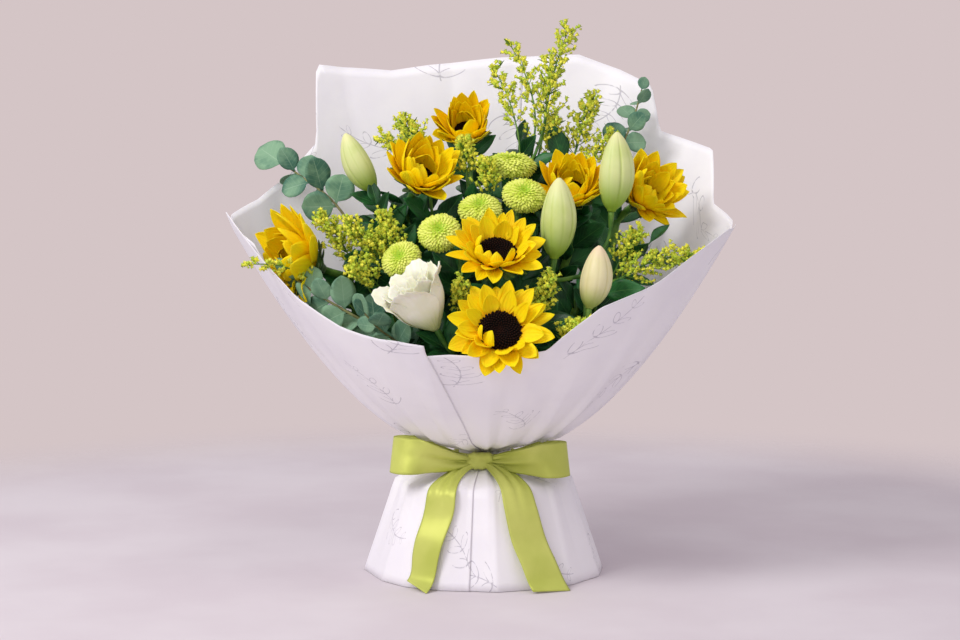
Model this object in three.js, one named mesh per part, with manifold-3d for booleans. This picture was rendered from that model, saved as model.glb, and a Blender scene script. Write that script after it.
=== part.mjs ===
// A hand-tied bunch of sunflowers in a printed paper wrap with a satin bow.
//
// Millimetres, +Z up. The bunch stands on its paper skirt and on its level-cut
// stems, and the origin is the cut end of the middle stem, on that surface.
// The front of the bunch, with the bow, faces -Y. Azimuths are in degrees from
// +X towards +Y, and a lean is the angle away from straight up.

import * as THREE from 'three';
import { mergeGeometries, mergeVertices } from 'three/addons/utils/BufferGeometryUtils.js';
import { LoftGeometry } from 'three/addons/geometries/LoftGeometry.js';
import Module from 'manifold-3d';

const wasm = await Module();
wasm.setup();

// ---------------------------------------------------------------- dimensions

const GAP = 0.3;                  // air between two pieces that touch
const SLACK = 0.1;                // more air than that, where a piece is only tried
const CURVE_SLACK = 0.3;          // and for a thin curve, whose try has fewer sides
const STEM_SLACK = 0.2;

const TIE_LOW = 101.5;            // the straight neck that the ribbon ties
const TIE_HIGH = 113.5;
const TIE_MIDDLE = 107.5;
const NECK_RADIUS = 22;           // inside of the innermost paper sheet
const HEM_RADIUS = 109;           // foot of the paper skirt
const SHOULDER_HEIGHT = 84;
const SHOULDER_RADIUS = 81;
const SHOULDER_POWER = 1.25;      // how the skirt draws in from its shoulder to the tie
const FLARE_SPAN = 208;           // height over which the wrap opens by its flare
const FLARE_POWER = 0.55;
const FLARE_SIDE = 205;           // how far the wrap opens to its sides,
const FLARE_FRONT = 6;            // how much more it opens at the front
const FLARE_BACK = 98;            // and how much less at the back
const SHEET = 0.8;                // paper, thicker than life
const SHEET_PITCH = 1.2;          // from one lapped sheet to the next
const COLUMN = 12;                // degrees between two folds of the paper
// Heights of the folds' joints, and how far the folds stand in and out there.
const LEVELS = [0, SHOULDER_HEIGHT, 96, TIE_LOW, TIE_HIGH, 131, 165, 215, 280, 370, 490];
const RIPPLE = [0.4, 1.8, 2.2, 0.4, 0.4, 2.2, 1.4, 0.5, 0, 0, 0];

const STEM_GAP = 0.6;             // air between two stems where they are tied
const SPREAD_ABOVE = 11;          // a stem's distance doubles in about this height
const SPREAD_BELOW = 40;
const SPIRAL = 24;                // degrees of twist of the hand-tied stems
const SPLIT_HEIGHT = 160;         // from here each stem bends to its own bloom

const START_REACH = 60;           // where the outermost stems start to gather
const START_LEAN = 52;            // the lean of those stems
const SLOT_REACH = 8;             // no stem is wider than this

// ----------------------------------------------------------------- materials

function material(color, roughness) {
  return new THREE.MeshStandardMaterial({ color, roughness, metalness: 0 });
}

const PAPER = material(0xe9e4ec, 0.6);
const SATIN = material(0xa5b84c, 0.35);
const YELLOW = material(0xf9c311, 0.6);
const DISC = material(0x2a1410, 0.85);
const LEAF_GREEN = material(0x3f7a3a, 0.6);
const LIME = material(0xabcc4a, 0.7);
const BUD = material(0xcfd89a, 0.5);
const CREAM = material(0xf2f0dc, 0.6);
const GOLDENROD = material(0xc3c53a, 0.8);
const EUCALYPTUS = material(0x7f9f8f, 0.7);
const DARK_LEAF = material(0x1f5c36, 0.5);

// --------------------------------------------------------------- small tools

const DEG = Math.PI / 180;
const STEM_STEP = 50;             // length of one straight piece of a stem
const BRANCH_STEP = 22;           // and of one of its branches

// A fixed draw between 0 and 1 for one place of one piece.
function draw(place, seed) {
  const s = Math.sin(place * 12.9898 + seed * 78.233) * 43758.5453;
  return s - Math.floor(s);
}

function vec(x, y, z) {
  return new THREE.Vector3(x, y, z);
}

function heading(azimuth, lean) {
  const out = Math.sin(lean * DEG);
  return vec(out * Math.cos(azimuth * DEG), out * Math.sin(azimuth * DEG), Math.cos(lean * DEG));
}

// The value at x on a line of [x, value] points.
function along(points, x) {
  if (x <= points[0][0]) return points[0][1];
  for (let i = 1; i < points.length; i++) {
    const [x0, y0] = points[i - 1];
    const [x1, y1] = points[i];
    if (x <= x1) return y0 + (y1 - y0) * (x - x0) / (x1 - x0);
  }
  return points[points.length - 1][1];
}

// A closed solid from a geometry whose vertices may be doubled.
function solid(geometry) {
  const bare = new THREE.BufferGeometry();
  bare.setAttribute('position', geometry.attributes.position);
  bare.setIndex(geometry.index);
  const merged = mergeVertices(bare, 1e-4);
  const position = merged.attributes.position.array;
  const corners = merged.index.array;
  const triVerts = [];
  let volume = 0;
  for (let i = 0; i < corners.length; i += 3) {
    const [a, b, c] = [corners[i], corners[i + 1], corners[i + 2]];
    if (a === b || b === c || c === a) continue;
    triVerts.push(a, b, c);
    const [p, q, r] = [a, b, c].map((k) => vec().fromArray(position, 3 * k));
    volume += p.dot(q.cross(r));
  }
  if (volume < 0) triVerts.reverse();
  const mesh = new wasm.Mesh({
    numProp: 3,
    vertProperties: Float32Array.from(position),
    triVerts: Uint32Array.from(triVerts),
  });
  return new wasm.Manifold(mesh);
}

// Joins a list of solids two by two, so that no join grows large early.
function fuse(solids) {
  let rest = solids;
  while (rest.length > 1) {
    const next = [];
    for (let i = 0; i + 1 < rest.length; i += 2) next.push(rest[i].add(rest[i + 1]));
    if (rest.length % 2) next.push(rest[rest.length - 1]);
    rest = next;
  }
  return rest[0];
}

// ------------------------------------------------------ pieces and clearance

const bunch = new THREE.Group();
bunch.name = 'bunch_of_sunflowers';
const placed = [];

function boxOf(shape) {
  const { min, max } = shape.boundingBox();
  return new THREE.Box3(vec(...min), vec(...max));
}

// Remembers a solid that later pieces must stay clear of.
function keepClearOf(shape, owner) {
  placed.push({ shape, owner, box: boxOf(shape) });
}

// True where a shape crosses nothing that belongs to another piece.
function isClear(shape, owner) {
  const box = boxOf(shape);
  return placed.every((other) => other.owner === owner
    || !other.box.intersectsBox(box)
    || other.shape.intersect(shape).isEmpty());
}

// The first of some tries whose swollen form is clear, or nothing.
function firstClear(owner, tries, make) {
  for (let n = 0; n < tries; n++) {
    const shape = make(n, GAP + SLACK);
    if (shape && isClear(shape, owner)) return make(n, 0);
  }
  return null;
}

function addPiece(name, shape, look) {
  const { vertProperties, triVerts } = shape.getMesh();
  const geometry = new THREE.BufferGeometry();
  geometry.setAttribute('position', new THREE.BufferAttribute(vertProperties, 3));
  geometry.setIndex(new THREE.BufferAttribute(triVerts, 1));
  geometry.computeVertexNormals();
  const mesh = new THREE.Mesh(geometry, look);
  mesh.name = name;
  bunch.add(mesh);
}

// ------------------------------------------------------------- basic shapes

function rodSteps(path, stepLength) {
  return Math.max(2, Math.round(path.getLength() / stepLength));
}

// A round rod along a curve through the points.
function rod(points, radius, sides = 5, stepLength = STEM_STEP) {
  const path = new THREE.CatmullRomCurve3(points, false, 'centripetal');
  const outline = new THREE.Shape();
  for (let i = 0; i < sides; i++) {
    const turn = 2 * Math.PI * i / sides;
    const corner = [radius * Math.cos(turn), radius * Math.sin(turn)];
    if (i === 0) outline.moveTo(...corner);
    else outline.lineTo(...corner);
  }
  const steps = rodSteps(path, stepLength);
  return solid(new THREE.ExtrudeGeometry(outline, { steps, extrudePath: path, bevelEnabled: false }));
}

// A blade with a keel under its middle line. Each station has a centre, a
// half-width vector and a vector to the keel; the last one is the tip.
function blade(stations, tip) {
  const sections = stations.map(({ centre, side, keel }) => [
    centre.clone().sub(side),
    centre.clone().add(keel),
    centre.clone().add(side),
  ]);
  sections.push([tip, tip, tip]);
  return loft(sections);
}

// A closed solid through sections, whichever way round they are listed.
function loft(sections) {
  const pointed = (section) => section.every((point) => point.equals(section[0]));
  const capStart = !pointed(sections[0]);
  const capEnd = !pointed(sections[sections.length - 1]);
  const [first, second] = capStart ? sections : sections.slice(1);
  const normal = vec();
  const run = vec();
  first.forEach((point, i) => {
    normal.add(point.clone().cross(first[(i + 1) % first.length]));
    run.add(second[i]).sub(point);
  });
  const upright = normal.dot(run) > 0;
  const ordered = upright ? sections : sections.map((section) => [...section].reverse());
  return solid(new LoftGeometry(ordered, { capStart, capEnd }));
}

// A thin sheet between two like grids of points, one for each face, so that
// both faces are split into triangles alike.
function shell(columns, rows, point) {
  const faces = [0, 1].map((side) => {
    const grid = new THREE.PlaneGeometry(1, 1, columns, rows);
    for (let row = 0; row <= rows; row++) {
      for (let column = 0; column <= columns; column++) {
        const p = point(column, row, side);
        grid.attributes.position.setXYZ(row * (columns + 1) + column, p.x, p.y, p.z);
      }
    }
    if (side === 0) grid.index.array.reverse();
    return grid;
  });
  const rim = [];
  for (let row = 0; row < rows; row++) rim.push([0, row]);
  for (let column = 0; column < columns; column++) rim.push([column, rows]);
  for (let row = rows; row > 0; row--) rim.push([columns, row]);
  for (let column = columns; column > 0; column--) rim.push([column, 0]);
  const walls = new LoftGeometry([0, 1].map((side) => rim.map(([c, r]) => point(c, r, side))));
  return solid(mergeGeometries([...faces, walls]));
}

// A leaf that bends towards its underside, more and more on its way to the tip.
function leaf({ root, ahead, face, length, width, bend = 0.15, thick = 0.9, shape, grow = 0 }) {
  const side = face.clone().cross(ahead).normalize();
  const at = (t) => root.clone()
    .addScaledVector(ahead, length * t)
    .addScaledVector(face, -bend * length * t * t + grow * 0.7);
  const stations = shape.map(([t, part]) => ({
    centre: at(t),
    side: side.clone().multiplyScalar(part * width / 2 + grow),
    keel: face.clone().multiplyScalar(-(thick + 2 * grow)),
  }));
  return blade(stations, at(1).addScaledVector(ahead, grow));
}

const LANCE = [[0, 0.1], [0.16, 0.12], [0.42, 1], [0.72, 0.72]];
const ROUND = [[0, 0.06], [0.22, 0.08], [0.46, 0.94], [0.8, 0.88]];

// The placing of a head: its own +Z is the way that the bloom faces.
function headFrame(place, azimuth, lean) {
  const axis = heading(azimuth, lean);
  const side = vec(-Math.sin(azimuth * DEG), Math.cos(azimuth * DEG), 0);
  return new THREE.Matrix4().makeBasis(side.clone().cross(axis), side, axis).setPosition(place);
}

function turned(profile, segments, frame) {
  const points = profile.map(([radius, height]) => new THREE.Vector2(radius, height));
  const geometry = new THREE.LatheGeometry(points, segments).rotateX(Math.PI / 2);
  return solid(geometry.applyMatrix4(frame));
}

// ---------------------------------------------------------------- paper wrap

function flare(azimuth) {
  const back = Math.sin(azimuth * DEG);
  return FLARE_SIDE - (back > 0 ? FLARE_BACK : FLARE_FRONT) * back;
}

function wrapRadius(azimuth, height) {
  if (height <= SHOULDER_HEIGHT) {
    return HEM_RADIUS + (SHOULDER_RADIUS - HEM_RADIUS) * height / SHOULDER_HEIGHT;
  }
  if (height < TIE_LOW) {
    const fall = (height - SHOULDER_HEIGHT) / (TIE_LOW - SHOULDER_HEIGHT);
    return SHOULDER_RADIUS + (NECK_RADIUS - SHOULDER_RADIUS) * fall ** SHOULDER_POWER;
  }
  if (height <= TIE_HIGH) return NECK_RADIUS;
  return NECK_RADIUS + flare(azimuth) * ((height - TIE_HIGH) / FLARE_SPAN) ** FLARE_POWER;
}

// A point of the wrap's middle lattice, as radius and height, where lapped
// sheets share their folds so that they lie flat on each other.
function latticePoint(column, row) {
  const azimuth = column * COLUMN;
  const fold = column % 2 === 0 ? 1 : -1;
  return new THREE.Vector2(wrapRadius(azimuth, LEVELS[row]) + fold * RIPPLE[row], LEVELS[row]);
}

// The way out of the paper; level at the hem, so that all sheets stand alike.
function latticeNormal(column, row) {
  if (row === 0) return new THREE.Vector2(1, 0);
  const below = latticePoint(column, row - 1);
  const above = latticePoint(column, Math.min(row + 1, LEVELS.length - 1));
  const here = latticePoint(column, row);
  const first = here.clone().sub(below).normalize();
  const second = above.clone().sub(here).normalize();
  const run = first.add(second).normalize();
  return new THREE.Vector2(run.y, -run.x);
}

// A sheet from one column to another, up to its rim, on one of the layers.
function paperSheet(layer, fromColumn, toColumn, rim) {
  const spin = (column, flat) => {
    const azimuth = column * COLUMN * DEG;
    return vec(flat.x * Math.cos(azimuth), flat.x * Math.sin(azimuth), flat.y);
  };
  const faces = (column, depth) => {
    const top = along(rim, column * COLUMN);
    return LEVELS.map((level, row) => {
      const lift = (r) => latticePoint(column, r)
        .addScaledVector(latticeNormal(column, r), layer * SHEET_PITCH + depth * SHEET);
      if (level <= top) return spin(column, lift(row));
      const low = LEVELS.findLastIndex((other) => other <= top);
      const part = (top - LEVELS[low]) / (LEVELS[low + 1] - LEVELS[low]);
      return spin(column, lift(low).lerp(lift(low + 1), part));
    });
  };
  const columns = toColumn - fromColumn;
  const numbers = Array.from({ length: columns + 1 }, (_, k) => fromColumn + k);
  const grid = [0, 1].map((depth) => numbers.map((column) => faces(column, depth)));
  return shell(columns, LEVELS.length - 1, (column, row, side) => grid[side][column][row]);
}

// Rims as [azimuth, height]; the front dips and the back stands tall.
const WRAP_SHEETS = [
  { name: 'paper_sheet_back_left', layer: 0, from: 7, to: 17,
    rim: [[84, 480], [96, 476], [108, 472], [120, 466], [144, 474], [156, 374], [168, 354], [180, 338],
      [204, 310]] },
  { name: 'paper_sheet_back_right', layer: 1, from: -1, to: 9,
    rim: [[-12, 322], [0, 336], [12, 386], [24, 398], [36, 450], [48, 470], [60, 484], [84, 480],
      [108, 474]] },
  { name: 'paper_sheet_front_right', layer: 2, from: -9, to: 0,
    rim: [[-108, 219], [-84, 220], [-72, 224], [-60, 262], [-48, 276], [-36, 302], [-24, 326], [-12, 326],
      [0, 300]] },
  { name: 'paper_sheet_front_left', layer: 3, from: 15, to: 22,
    rim: [[180, 300], [192, 338], [204, 300], [216, 264], [228, 244], [240, 234], [252, 230], [264, 222]] },
];

function makeWrap() {
  for (const { name, layer, from, to, rim } of WRAP_SHEETS) {
    const sheet = paperSheet(layer, from, to, rim);
    keepClearOf(sheet, name);
    addPiece(name, sheet, PAPER);
  }
}

// -------------------------------------------------------------------- ribbon

const BAND_RADIUS = 27.5;        // inside of the ribbon round the gathered paper
const BAND_THICK = 1.5;
const BAND_HEIGHT = 6;
const KNOT = vec(-4, -44, TIE_MIDDLE);
const KNOT_SIZE = vec(12.5, 6.5, 6.8);
const KNOT_BACK = vec(14, 13, 6); // the gathered ribbon between band and knot
const LOOP_REACH = 83;            // from the middle of the bow to a loop's end
const LOOP_SWELL = 10;            // half the distance between a loop's two runs
const LOOP_FORWARD = 13;          // the loops stand this far in front of the knot
const LOOP_WIDTH = [11, 34];      // the ribbon at the knot and at the loop's end
const LOOP_MOUTH = 1.2;           // half the distance between the runs at the knot
const LOOP_SETBACK = 3;           // a loop leaves the knot's front this far ahead
const LOOP_LIFT = 4;              // and its end stands this much higher
const LOOP_PARTING = 2.5;         // the first and last edge step apart by this
const LOOP_STATIONS = 14;
const SATIN_THICK = 1;

// A ribbon along a line: each station has its middle, the way across the
// ribbon, its width and the way that its face looks.
function ribbon(stations, columns) {
  return shell(columns, stations.length - 1, (column, row, side) => {
    const { middle, across, width, face } = stations[row];
    return middle.clone()
      .addScaledVector(across, width * (column / columns - 0.5))
      .addScaledVector(face, SATIN_THICK * (side - 0.5));
  });
}

// One loop of the bow, out along its back run and home along its front run.
function bowLoop(hand) {
  const turns = LOOP_STATIONS;
  const start = KNOT_SIZE.x + 0.4;
  const stations = [];
  for (let i = 0; i <= turns; i++) {
    const angle = (1 - 2 * i / turns) * Math.PI;
    const out = start + (LOOP_REACH - start) * (1 + Math.cos(angle)) / 2;
    const opening = (out - start) / (LOOP_REACH - start);
    const swell = (LOOP_MOUTH + LOOP_SWELL * Math.sqrt(opening)) * Math.sin(angle);
    stations.push({
      middle: vec(
        KNOT.x + hand * out,
        KNOT.y - LOOP_SETBACK + swell - LOOP_FORWARD * Math.sin(0.85 * Math.PI * opening),
        KNOT.z + LOOP_LIFT * opening,
      ),
      across: vec(0, 0, 1),
      width: LOOP_WIDTH[0] + (LOOP_WIDTH[1] - LOOP_WIDTH[0]) * opening ** 0.9,
    });
  }
  // The run at the knot keeps its two ends apart.
  stations[0].middle.y += LOOP_PARTING;
  stations[turns].middle.y -= LOOP_PARTING;
  stations.forEach((station, i) => {
    const next = stations[Math.min(i + 1, turns)].middle;
    const last = stations[Math.max(i - 1, 0)].middle;
    const run = next.clone().sub(last).setZ(0).normalize();
    station.face = vec(run.y, -run.x, 0);
  });
  return ribbon(stations, 1);
}

// Each tail as [radius, azimuth, height, width], from under the knot, over the
// shoulder of the skirt and down its wall.
const TAILS = {
  ribbon_tail_left: [
    [50.5, -98.5, 103.8, 8], [63, -101, 99.5, 12], [78, -103, 93, 16], [90.5, -105, 87, 19],
    [95, -107, 74, 22], [100, -110, 55, 24], [108, -115, 28, 25], [117, -119, 2, 26]],
  ribbon_tail_right: [
    [49.4, -86, 103.8, 8], [62, -86, 99.5, 13], [78, -85, 93, 19], [90.5, -83, 87, 23],
    [95.5, -80, 74, 30], [101, -74, 55, 33], [109.5, -66, 28, 36], [118.5, -60, 2, 36]],
};

function bowTail(route) {
  const middles = route.map(([radius, azimuth, height]) => heading(azimuth, 90)
    .multiplyScalar(radius).setZ(height));
  return ribbon(route.map(([, azimuth, , width], i) => {
    const next = middles[Math.min(i + 1, route.length - 1)];
    const run = next.clone().sub(middles[Math.max(i - 1, 0)]);
    const across = vec(0, 0, 1).cross(heading(azimuth, 90)).normalize();
    return { middle: middles[i], across, width, face: across.clone().cross(run).normalize() };
  }), 2);
}

function makeRibbon() {
  const bandTop = TIE_MIDDLE + BAND_HEIGHT / 2;
  const bandFoot = TIE_MIDDLE - BAND_HEIGHT / 2;
  const upright = new THREE.Matrix4();
  const band = turned([
    [BAND_RADIUS, bandFoot], [BAND_RADIUS + BAND_THICK, bandFoot],
    [BAND_RADIUS + BAND_THICK, bandTop], [BAND_RADIUS, bandTop], [BAND_RADIUS, bandFoot],
  ], 24, upright);
  const knot = new THREE.SphereGeometry(1, 10, 6).scale(...KNOT_SIZE).translate(...KNOT);
  const backMiddle = -BAND_RADIUS - GAP - KNOT_BACK.y / 2;
  const back = new THREE.BoxGeometry(...KNOT_BACK).translate(KNOT.x, backMiddle, KNOT.z);
  const pieces = [
    ['ribbon_band_and_knot', fuse([band, solid(back), solid(knot)])],
    ['ribbon_loop_left', bowLoop(-1)],
    ['ribbon_loop_right', bowLoop(1)],
    ...Object.entries(TAILS).map(([name, route]) => [name, bowTail(route)]),
  ];
  for (const [name, shape] of pieces) {
    keepClearOf(shape, name);
    addPiece(name, shape, SATIN);
  }
}

// ------------------------------------------------------------------ the stems

// Every stem runs straight through a place of its own in the tie, its slot, and
// the slots fan out and turn together above and below it, so no two stems meet.
function fan(slot, height) {
  const rise = Math.max(height - TIE_HIGH, 0) + Math.min(height - TIE_LOW, 0);
  const spread = Math.sqrt(1 + (rise / (rise > 0 ? SPREAD_ABOVE : SPREAD_BELOW)) ** 2);
  const twist = SPIRAL * DEG * rise / (Math.abs(rise) + SPREAD_ABOVE);
  return vec(slot.x * spread, slot.y * spread, height).applyAxisAngle(vec(0, 0, 1), twist);
}

function stemCorners({ radius, sides }) {
  return Array.from({ length: sides }, (_, k) => heading(360 * k / sides, 90).multiplyScalar(radius));
}

// The air between two stems in the tie, and the way in which they part. Both
// are straight prisms there, so it is the widest gap across any of their flats.
function airBetween(a, b) {
  let best = { air: -Infinity };
  for (const [from, to, sign] of [[a, b, 1], [b, a, -1]]) {
    const flat = from.radius * Math.cos(Math.PI / from.sides);
    const apart = to.slot.clone().sub(from.slot);
    for (let k = 0; k < from.sides; k++) {
      const way = heading(360 * (k + 0.5) / from.sides, 90).setZ(0);
      const nearest = Math.min(...stemCorners(to).map((corner) => way.dot(corner)));
      const air = way.dot(apart) + nearest - flat;
      if (air > best.air) best = { air, way: way.multiplyScalar(sign) };
    }
  }
  return best;
}

// Slots start wide apart, each on the side that its stem leans to, and gather
// round the middle stem until every stem rests against others.
function settleSlots(stems) {
  for (const stem of stems) {
    const lean = Math.atan2(Math.hypot(stem.top.x, stem.top.y), stem.top.z - TIE_MIDDLE) / DEG;
    const reach = stem.middle ? 0 : START_REACH * lean / START_LEAN;
    const azimuth = Math.atan2(stem.top.y, stem.top.x) - SPIRAL * DEG * 0.8;
    stem.slot = vec(reach * Math.cos(azimuth), reach * Math.sin(azimuth), 0);
  }
  const rounds = 500;
  for (let round = 0; round < rounds; round++) {
    const pull = 1 - 0.02 * (1 - round / rounds) ** 2;
    for (const a of stems) {
      a.slot.multiplyScalar(pull);
      for (const b of stems) {
        if (a === b || a.slot.distanceTo(b.slot) > 2 * SLOT_REACH) continue;
        const { air, way } = airBetween(a, b);
        if (air >= STEM_GAP) continue;
        const push = way.multiplyScalar((STEM_GAP - air) / 2);
        if (!a.middle) a.slot.sub(push);
        if (!b.middle) b.slot.add(push);
      }
    }
  }
}

const STEM_LEVELS = [-12, 50, TIE_LOW, TIE_HIGH, 126, SPLIT_HEIGHT];
const TIE_JOINTS = [2, 3];        // the two joints of a stem at the ends of the tie

// The way of one stem, from under the floor line to the base of its bloom.
// On later tries its middle swings aside.
function stemRoute(stem, attempt) {
  const points = STEM_LEVELS.map((level) => fan(stem.slot, level));
  const swing = attempt === 0 ? 0 : 6 + 2.2 * attempt;
  const aside = 2 * Math.PI * draw(attempt, stem.seed);
  const start = points[points.length - 1];
  const neck = stem.top.clone().addScaledVector(stem.axis, -stem.straight);
  const lead = start.clone().sub(fan(stem.slot, SPLIT_HEIGHT - 20)).normalize();
  const middle = start.clone().lerp(neck, 0.55).addScaledVector(lead, 0.1 * start.distanceTo(neck));
  middle.add(vec(swing * Math.cos(aside), swing * Math.sin(aside), 0));
  return stemJoints([...points, middle, neck, stem.top.clone()]);
}

// The joints between the straight pieces of a stem: each point of its way up to
// the split, and even steps from there.
function stemJoints(way) {
  const path = new THREE.CatmullRomCurve3(way, false, 'centripetal');
  const joints = STEM_LEVELS.map((_, i) => way[i]);
  for (let i = STEM_LEVELS.length; i < way.length; i++) {
    const steps = Math.max(1, Math.round(way[i].distanceTo(way[i - 1]) / STEM_STEP));
    for (let k = 1; k <= steps; k++) joints.push(path.getPoint((i - 1 + k / steps) / (way.length - 1)));
  }
  return joints;
}

// The joint of a stem nearest to a part of its way, where a branch can leave it.
function jointAt(route, part) {
  return route[Math.round(part * (route.length - 1))];
}

// A stem through its joints, carried up and down from the tie without a twist.
function stemRod(joints, radius, sides) {
  const last = joints.length - 1;
  const ahead = joints.map((joint, i) => {
    if (TIE_JOINTS.includes(i)) return vec(0, 0, 1);
    const into = joint.clone().sub(joints[Math.max(i - 1, 0)]).normalize();
    return into.add(joints[Math.min(i + 1, last)].clone().sub(joint).normalize()).normalize();
  });
  const turns = joints.map(() => new THREE.Quaternion());
  const carry = (from, to) => {
    turns[to].setFromUnitVectors(ahead[from], ahead[to]).multiply(turns[from]);
  };
  for (let i = TIE_JOINTS[0]; i > 0; i--) carry(i, i - 1);
  for (let i = TIE_JOINTS[1]; i < last; i++) carry(i, i + 1);
  return loft(joints.map((joint, i) => stemCorners({ radius, sides })
    .map((corner) => corner.setZ(0).applyQuaternion(turns[i]).add(joint))));
}

function levelCut(shape) {
  const floor = new THREE.BoxGeometry(400, 400, 60).translate(0, 0, -30);
  return shape.subtract(solid(floor));
}

// A stem that is clear of all that is placed.
function clearStem(stem, owner) {
  const tries = 40;
  for (let n = 0; n < tries; n++) {
    const route = stemRoute(stem, n);
    if (isClear(stemRod(route, stem.radius + GAP + STEM_SLACK, stem.sides), owner)) {
      return { route, shape: levelCut(stemRod(route, stem.radius, stem.sides)) };
    }
  }
  throw new Error(`no clear way for the stem of ${owner}`);
}

// ---------------------------------------------------------------- sunflowers

// Each bloom: the place of its disc, where it faces, the length and width of
// its ray petals, how far they open, and the size of its disc.
const SUNFLOWERS = [
  { name: 'sunflower_top', place: [-17, 46, 406], facing: [-100, 24], petal: [38, 11], open: [40, 24],
    disc: 12, middle: true },
  { name: 'sunflower_upper_left', place: [-60, -28, 366], facing: [-62, 34], petal: [38, 12],
    open: [58, 34], disc: 13 },
  { name: 'sunflower_centre', place: [10, -116, 302], facing: [-88, 40], petal: [27, 10.5], open: [82, 62],
    disc: 19 },
  { name: 'sunflower_front', place: [13, -158, 238], facing: [-87, 56], petal: [30, 12], open: [88, 66],
    disc: 19.5 },
  { name: 'sunflower_right_of_centre', place: [80, -18, 352], facing: [-100, 34], petal: [36, 12],
    open: [50, 32], disc: 13 },
  { name: 'sunflower_right', place: [148, 12, 347], facing: [-48, 46], petal: [36, 12.5], open: [72, 46],
    disc: 13 },
  { name: 'sunflower_left', place: [-172, -44, 296], facing: [-168, 58], petal: [36, 12.5], open: [54, 36],
    disc: 14 },
];
const RAYS = [10, 6];             // ray petals in the outer and the inner layer
const RAY_SHAPE = [[0, 0.3], [0.38, 1], [0.74, 0.84]];
const RING_THICK = 3;             // the ring that holds a bloom's petals
const RING_SIDES = 10;
const PETAL_THICK = 1.1;
const FLORET_RISE = 1.2;          // how far every other point of the disc stands out
const DISC_INSET = 1.2;           // the disc stays this far inside its ring
const CALYX_DEPTH = 12;
const SEPALS = 7;
const SEPAL_LENGTH = 19;
const SUNFLOWER_STEM = 3.8;

// A ray petal in the bloom's own frame: it leaves the ring at its own lean
// and bends outwards by `curl` degrees on its way to the tip.
function rayPetal({ turn, root, height, length, width, lean, curl, grow = 0 }) {
  const out = vec(Math.cos(turn), Math.sin(turn), 0);
  const side = vec(-Math.sin(turn), Math.cos(turn), 0);
  const up = vec(0, 0, 1);
  const full = length + grow;
  const at = (t) => {
    const angle = (lean + curl * t / 2) * DEG;
    return out.clone().multiplyScalar(root + full * t * Math.sin(angle))
      .addScaledVector(up, height + full * t * Math.cos(angle));
  };
  const stations = RAY_SHAPE.map(([t, part]) => {
    const angle = (lean + curl * t) * DEG;
    const under = out.clone().multiplyScalar(Math.cos(angle)).addScaledVector(up, -Math.sin(angle));
    return {
      centre: at(t).addScaledVector(under, -grow),
      side: side.clone().multiplyScalar(part * width / 2 + grow),
      keel: under.multiplyScalar(PETAL_THICK + 2 * grow),
    };
  });
  return blade(stations, at(1));
}

function rayPetals(bloom, frame, owner, seed) {
  const { disc, petal: [length, width], open } = bloom;
  const ring = turned([
    [0, -RING_THICK], [disc, -RING_THICK], [disc + 1, -0.5], [disc, 0], [0, 0],
  ], RING_SIDES, frame);
  const petals = [ring];
  RAYS.forEach((count, layer) => {
    for (let i = 0; i < count; i++) {
      const place = 40 * layer + i;
      const turn = 2 * Math.PI * (i + 0.5 * layer + 0.3 * (draw(place, seed) - 0.5)) / count;
      const petal = firstClear(owner, 4, (n, grow) => {
        const geometry = {
          turn,
          root: disc - 2.5,
          height: layer === 0 ? -2 : -0.9,
          length: length * (0.88 + 0.2 * draw(place, seed + 1)) * (1 - 0.12 * n),
          width: width * (0.9 + 0.2 * draw(place, seed + 2)),
          lean: Math.min(open[layer] + 10 * (draw(place, seed + 3) - 0.5) - 9 * n, layer ? 72 : 92),
          curl: 16 - 30 * draw(place, seed + 4) * layer,
          grow,
        };
        return rayPetal(geometry).transform(frame.elements);
      });
      if (petal) petals.push(petal);
    }
  });
  return fuse(petals);
}

// The disc: rings of florets that stand out of a low dome round a dimple.
function discFlorets({ disc }, frame) {
  const spokes = 10;
  const radius = disc - DISC_INSET;
  const rings = [[1, 0.35], [1, 2.6], [0.74, 5], [0.45, 4.6], [0.2, 3.2]];
  const sections = rings.map(([part, height], ring) => Array.from({ length: spokes }, (_, k) => {
    const bump = ring > 0 && (k + ring) % 2 ? FLORET_RISE : 0;
    const turn = 2 * Math.PI * k / spokes;
    return vec(radius * part * Math.cos(turn), radius * part * Math.sin(turn), height + bump);
  }));
  sections.push(Array(spokes).fill(vec(0, 0, 2.4)));
  return loft(sections).transform(frame.elements);
}

// The green cup under a bloom in one skin, with every other point of its
// upper rings drawn out into a pointed sepal.
function calyx({ disc, open }, frame, owner, seed) {
  const points = 2 * SEPALS;
  const top = -RING_THICK - GAP;
  const lean = Math.min(open[0] + 24, 104) * DEG;
  const ring = (radius, height) => Array.from({ length: points }, (_, k) => {
    const turn = 2 * Math.PI * k / points;
    return vec(radius * Math.cos(turn), radius * Math.sin(turn), height);
  });
  const rim = ring(disc - 0.5, top);
  const under = ring(disc * 0.86, top - 5);
  const sepals = ring(disc, top - 2.6).map((root, k) => {
    if (k % 2) return root;
    const out = root.clone().setZ(0).normalize();
    const ahead = out.multiplyScalar(Math.sin(lean)).setZ(Math.cos(lean));
    for (const part of [1, 0.8, 0.6, 0.4]) {
      const tip = root.clone().addScaledVector(ahead, part * SEPAL_LENGTH * (0.85 + 0.3 * draw(k, seed)));
      const probe = rod([root.clone().setZ(top - 3), tip], 2.4, 4, 60).transform(frame.elements);
      if (isClear(probe, owner)) return tip;
    }
    return root;
  });
  const stalk = [
    ring(SUNFLOWER_STEM * 0.9, top - CALYX_DEPTH - 1),
    ring(SUNFLOWER_STEM * 1.5, top - CALYX_DEPTH + 2),
  ];
  const seat = ring(0, top);
  return [loft([...stalk, under, sepals, rim, seat]).transform(frame.elements)];
}

// -------------------------------------------------------------- lily buds

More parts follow.
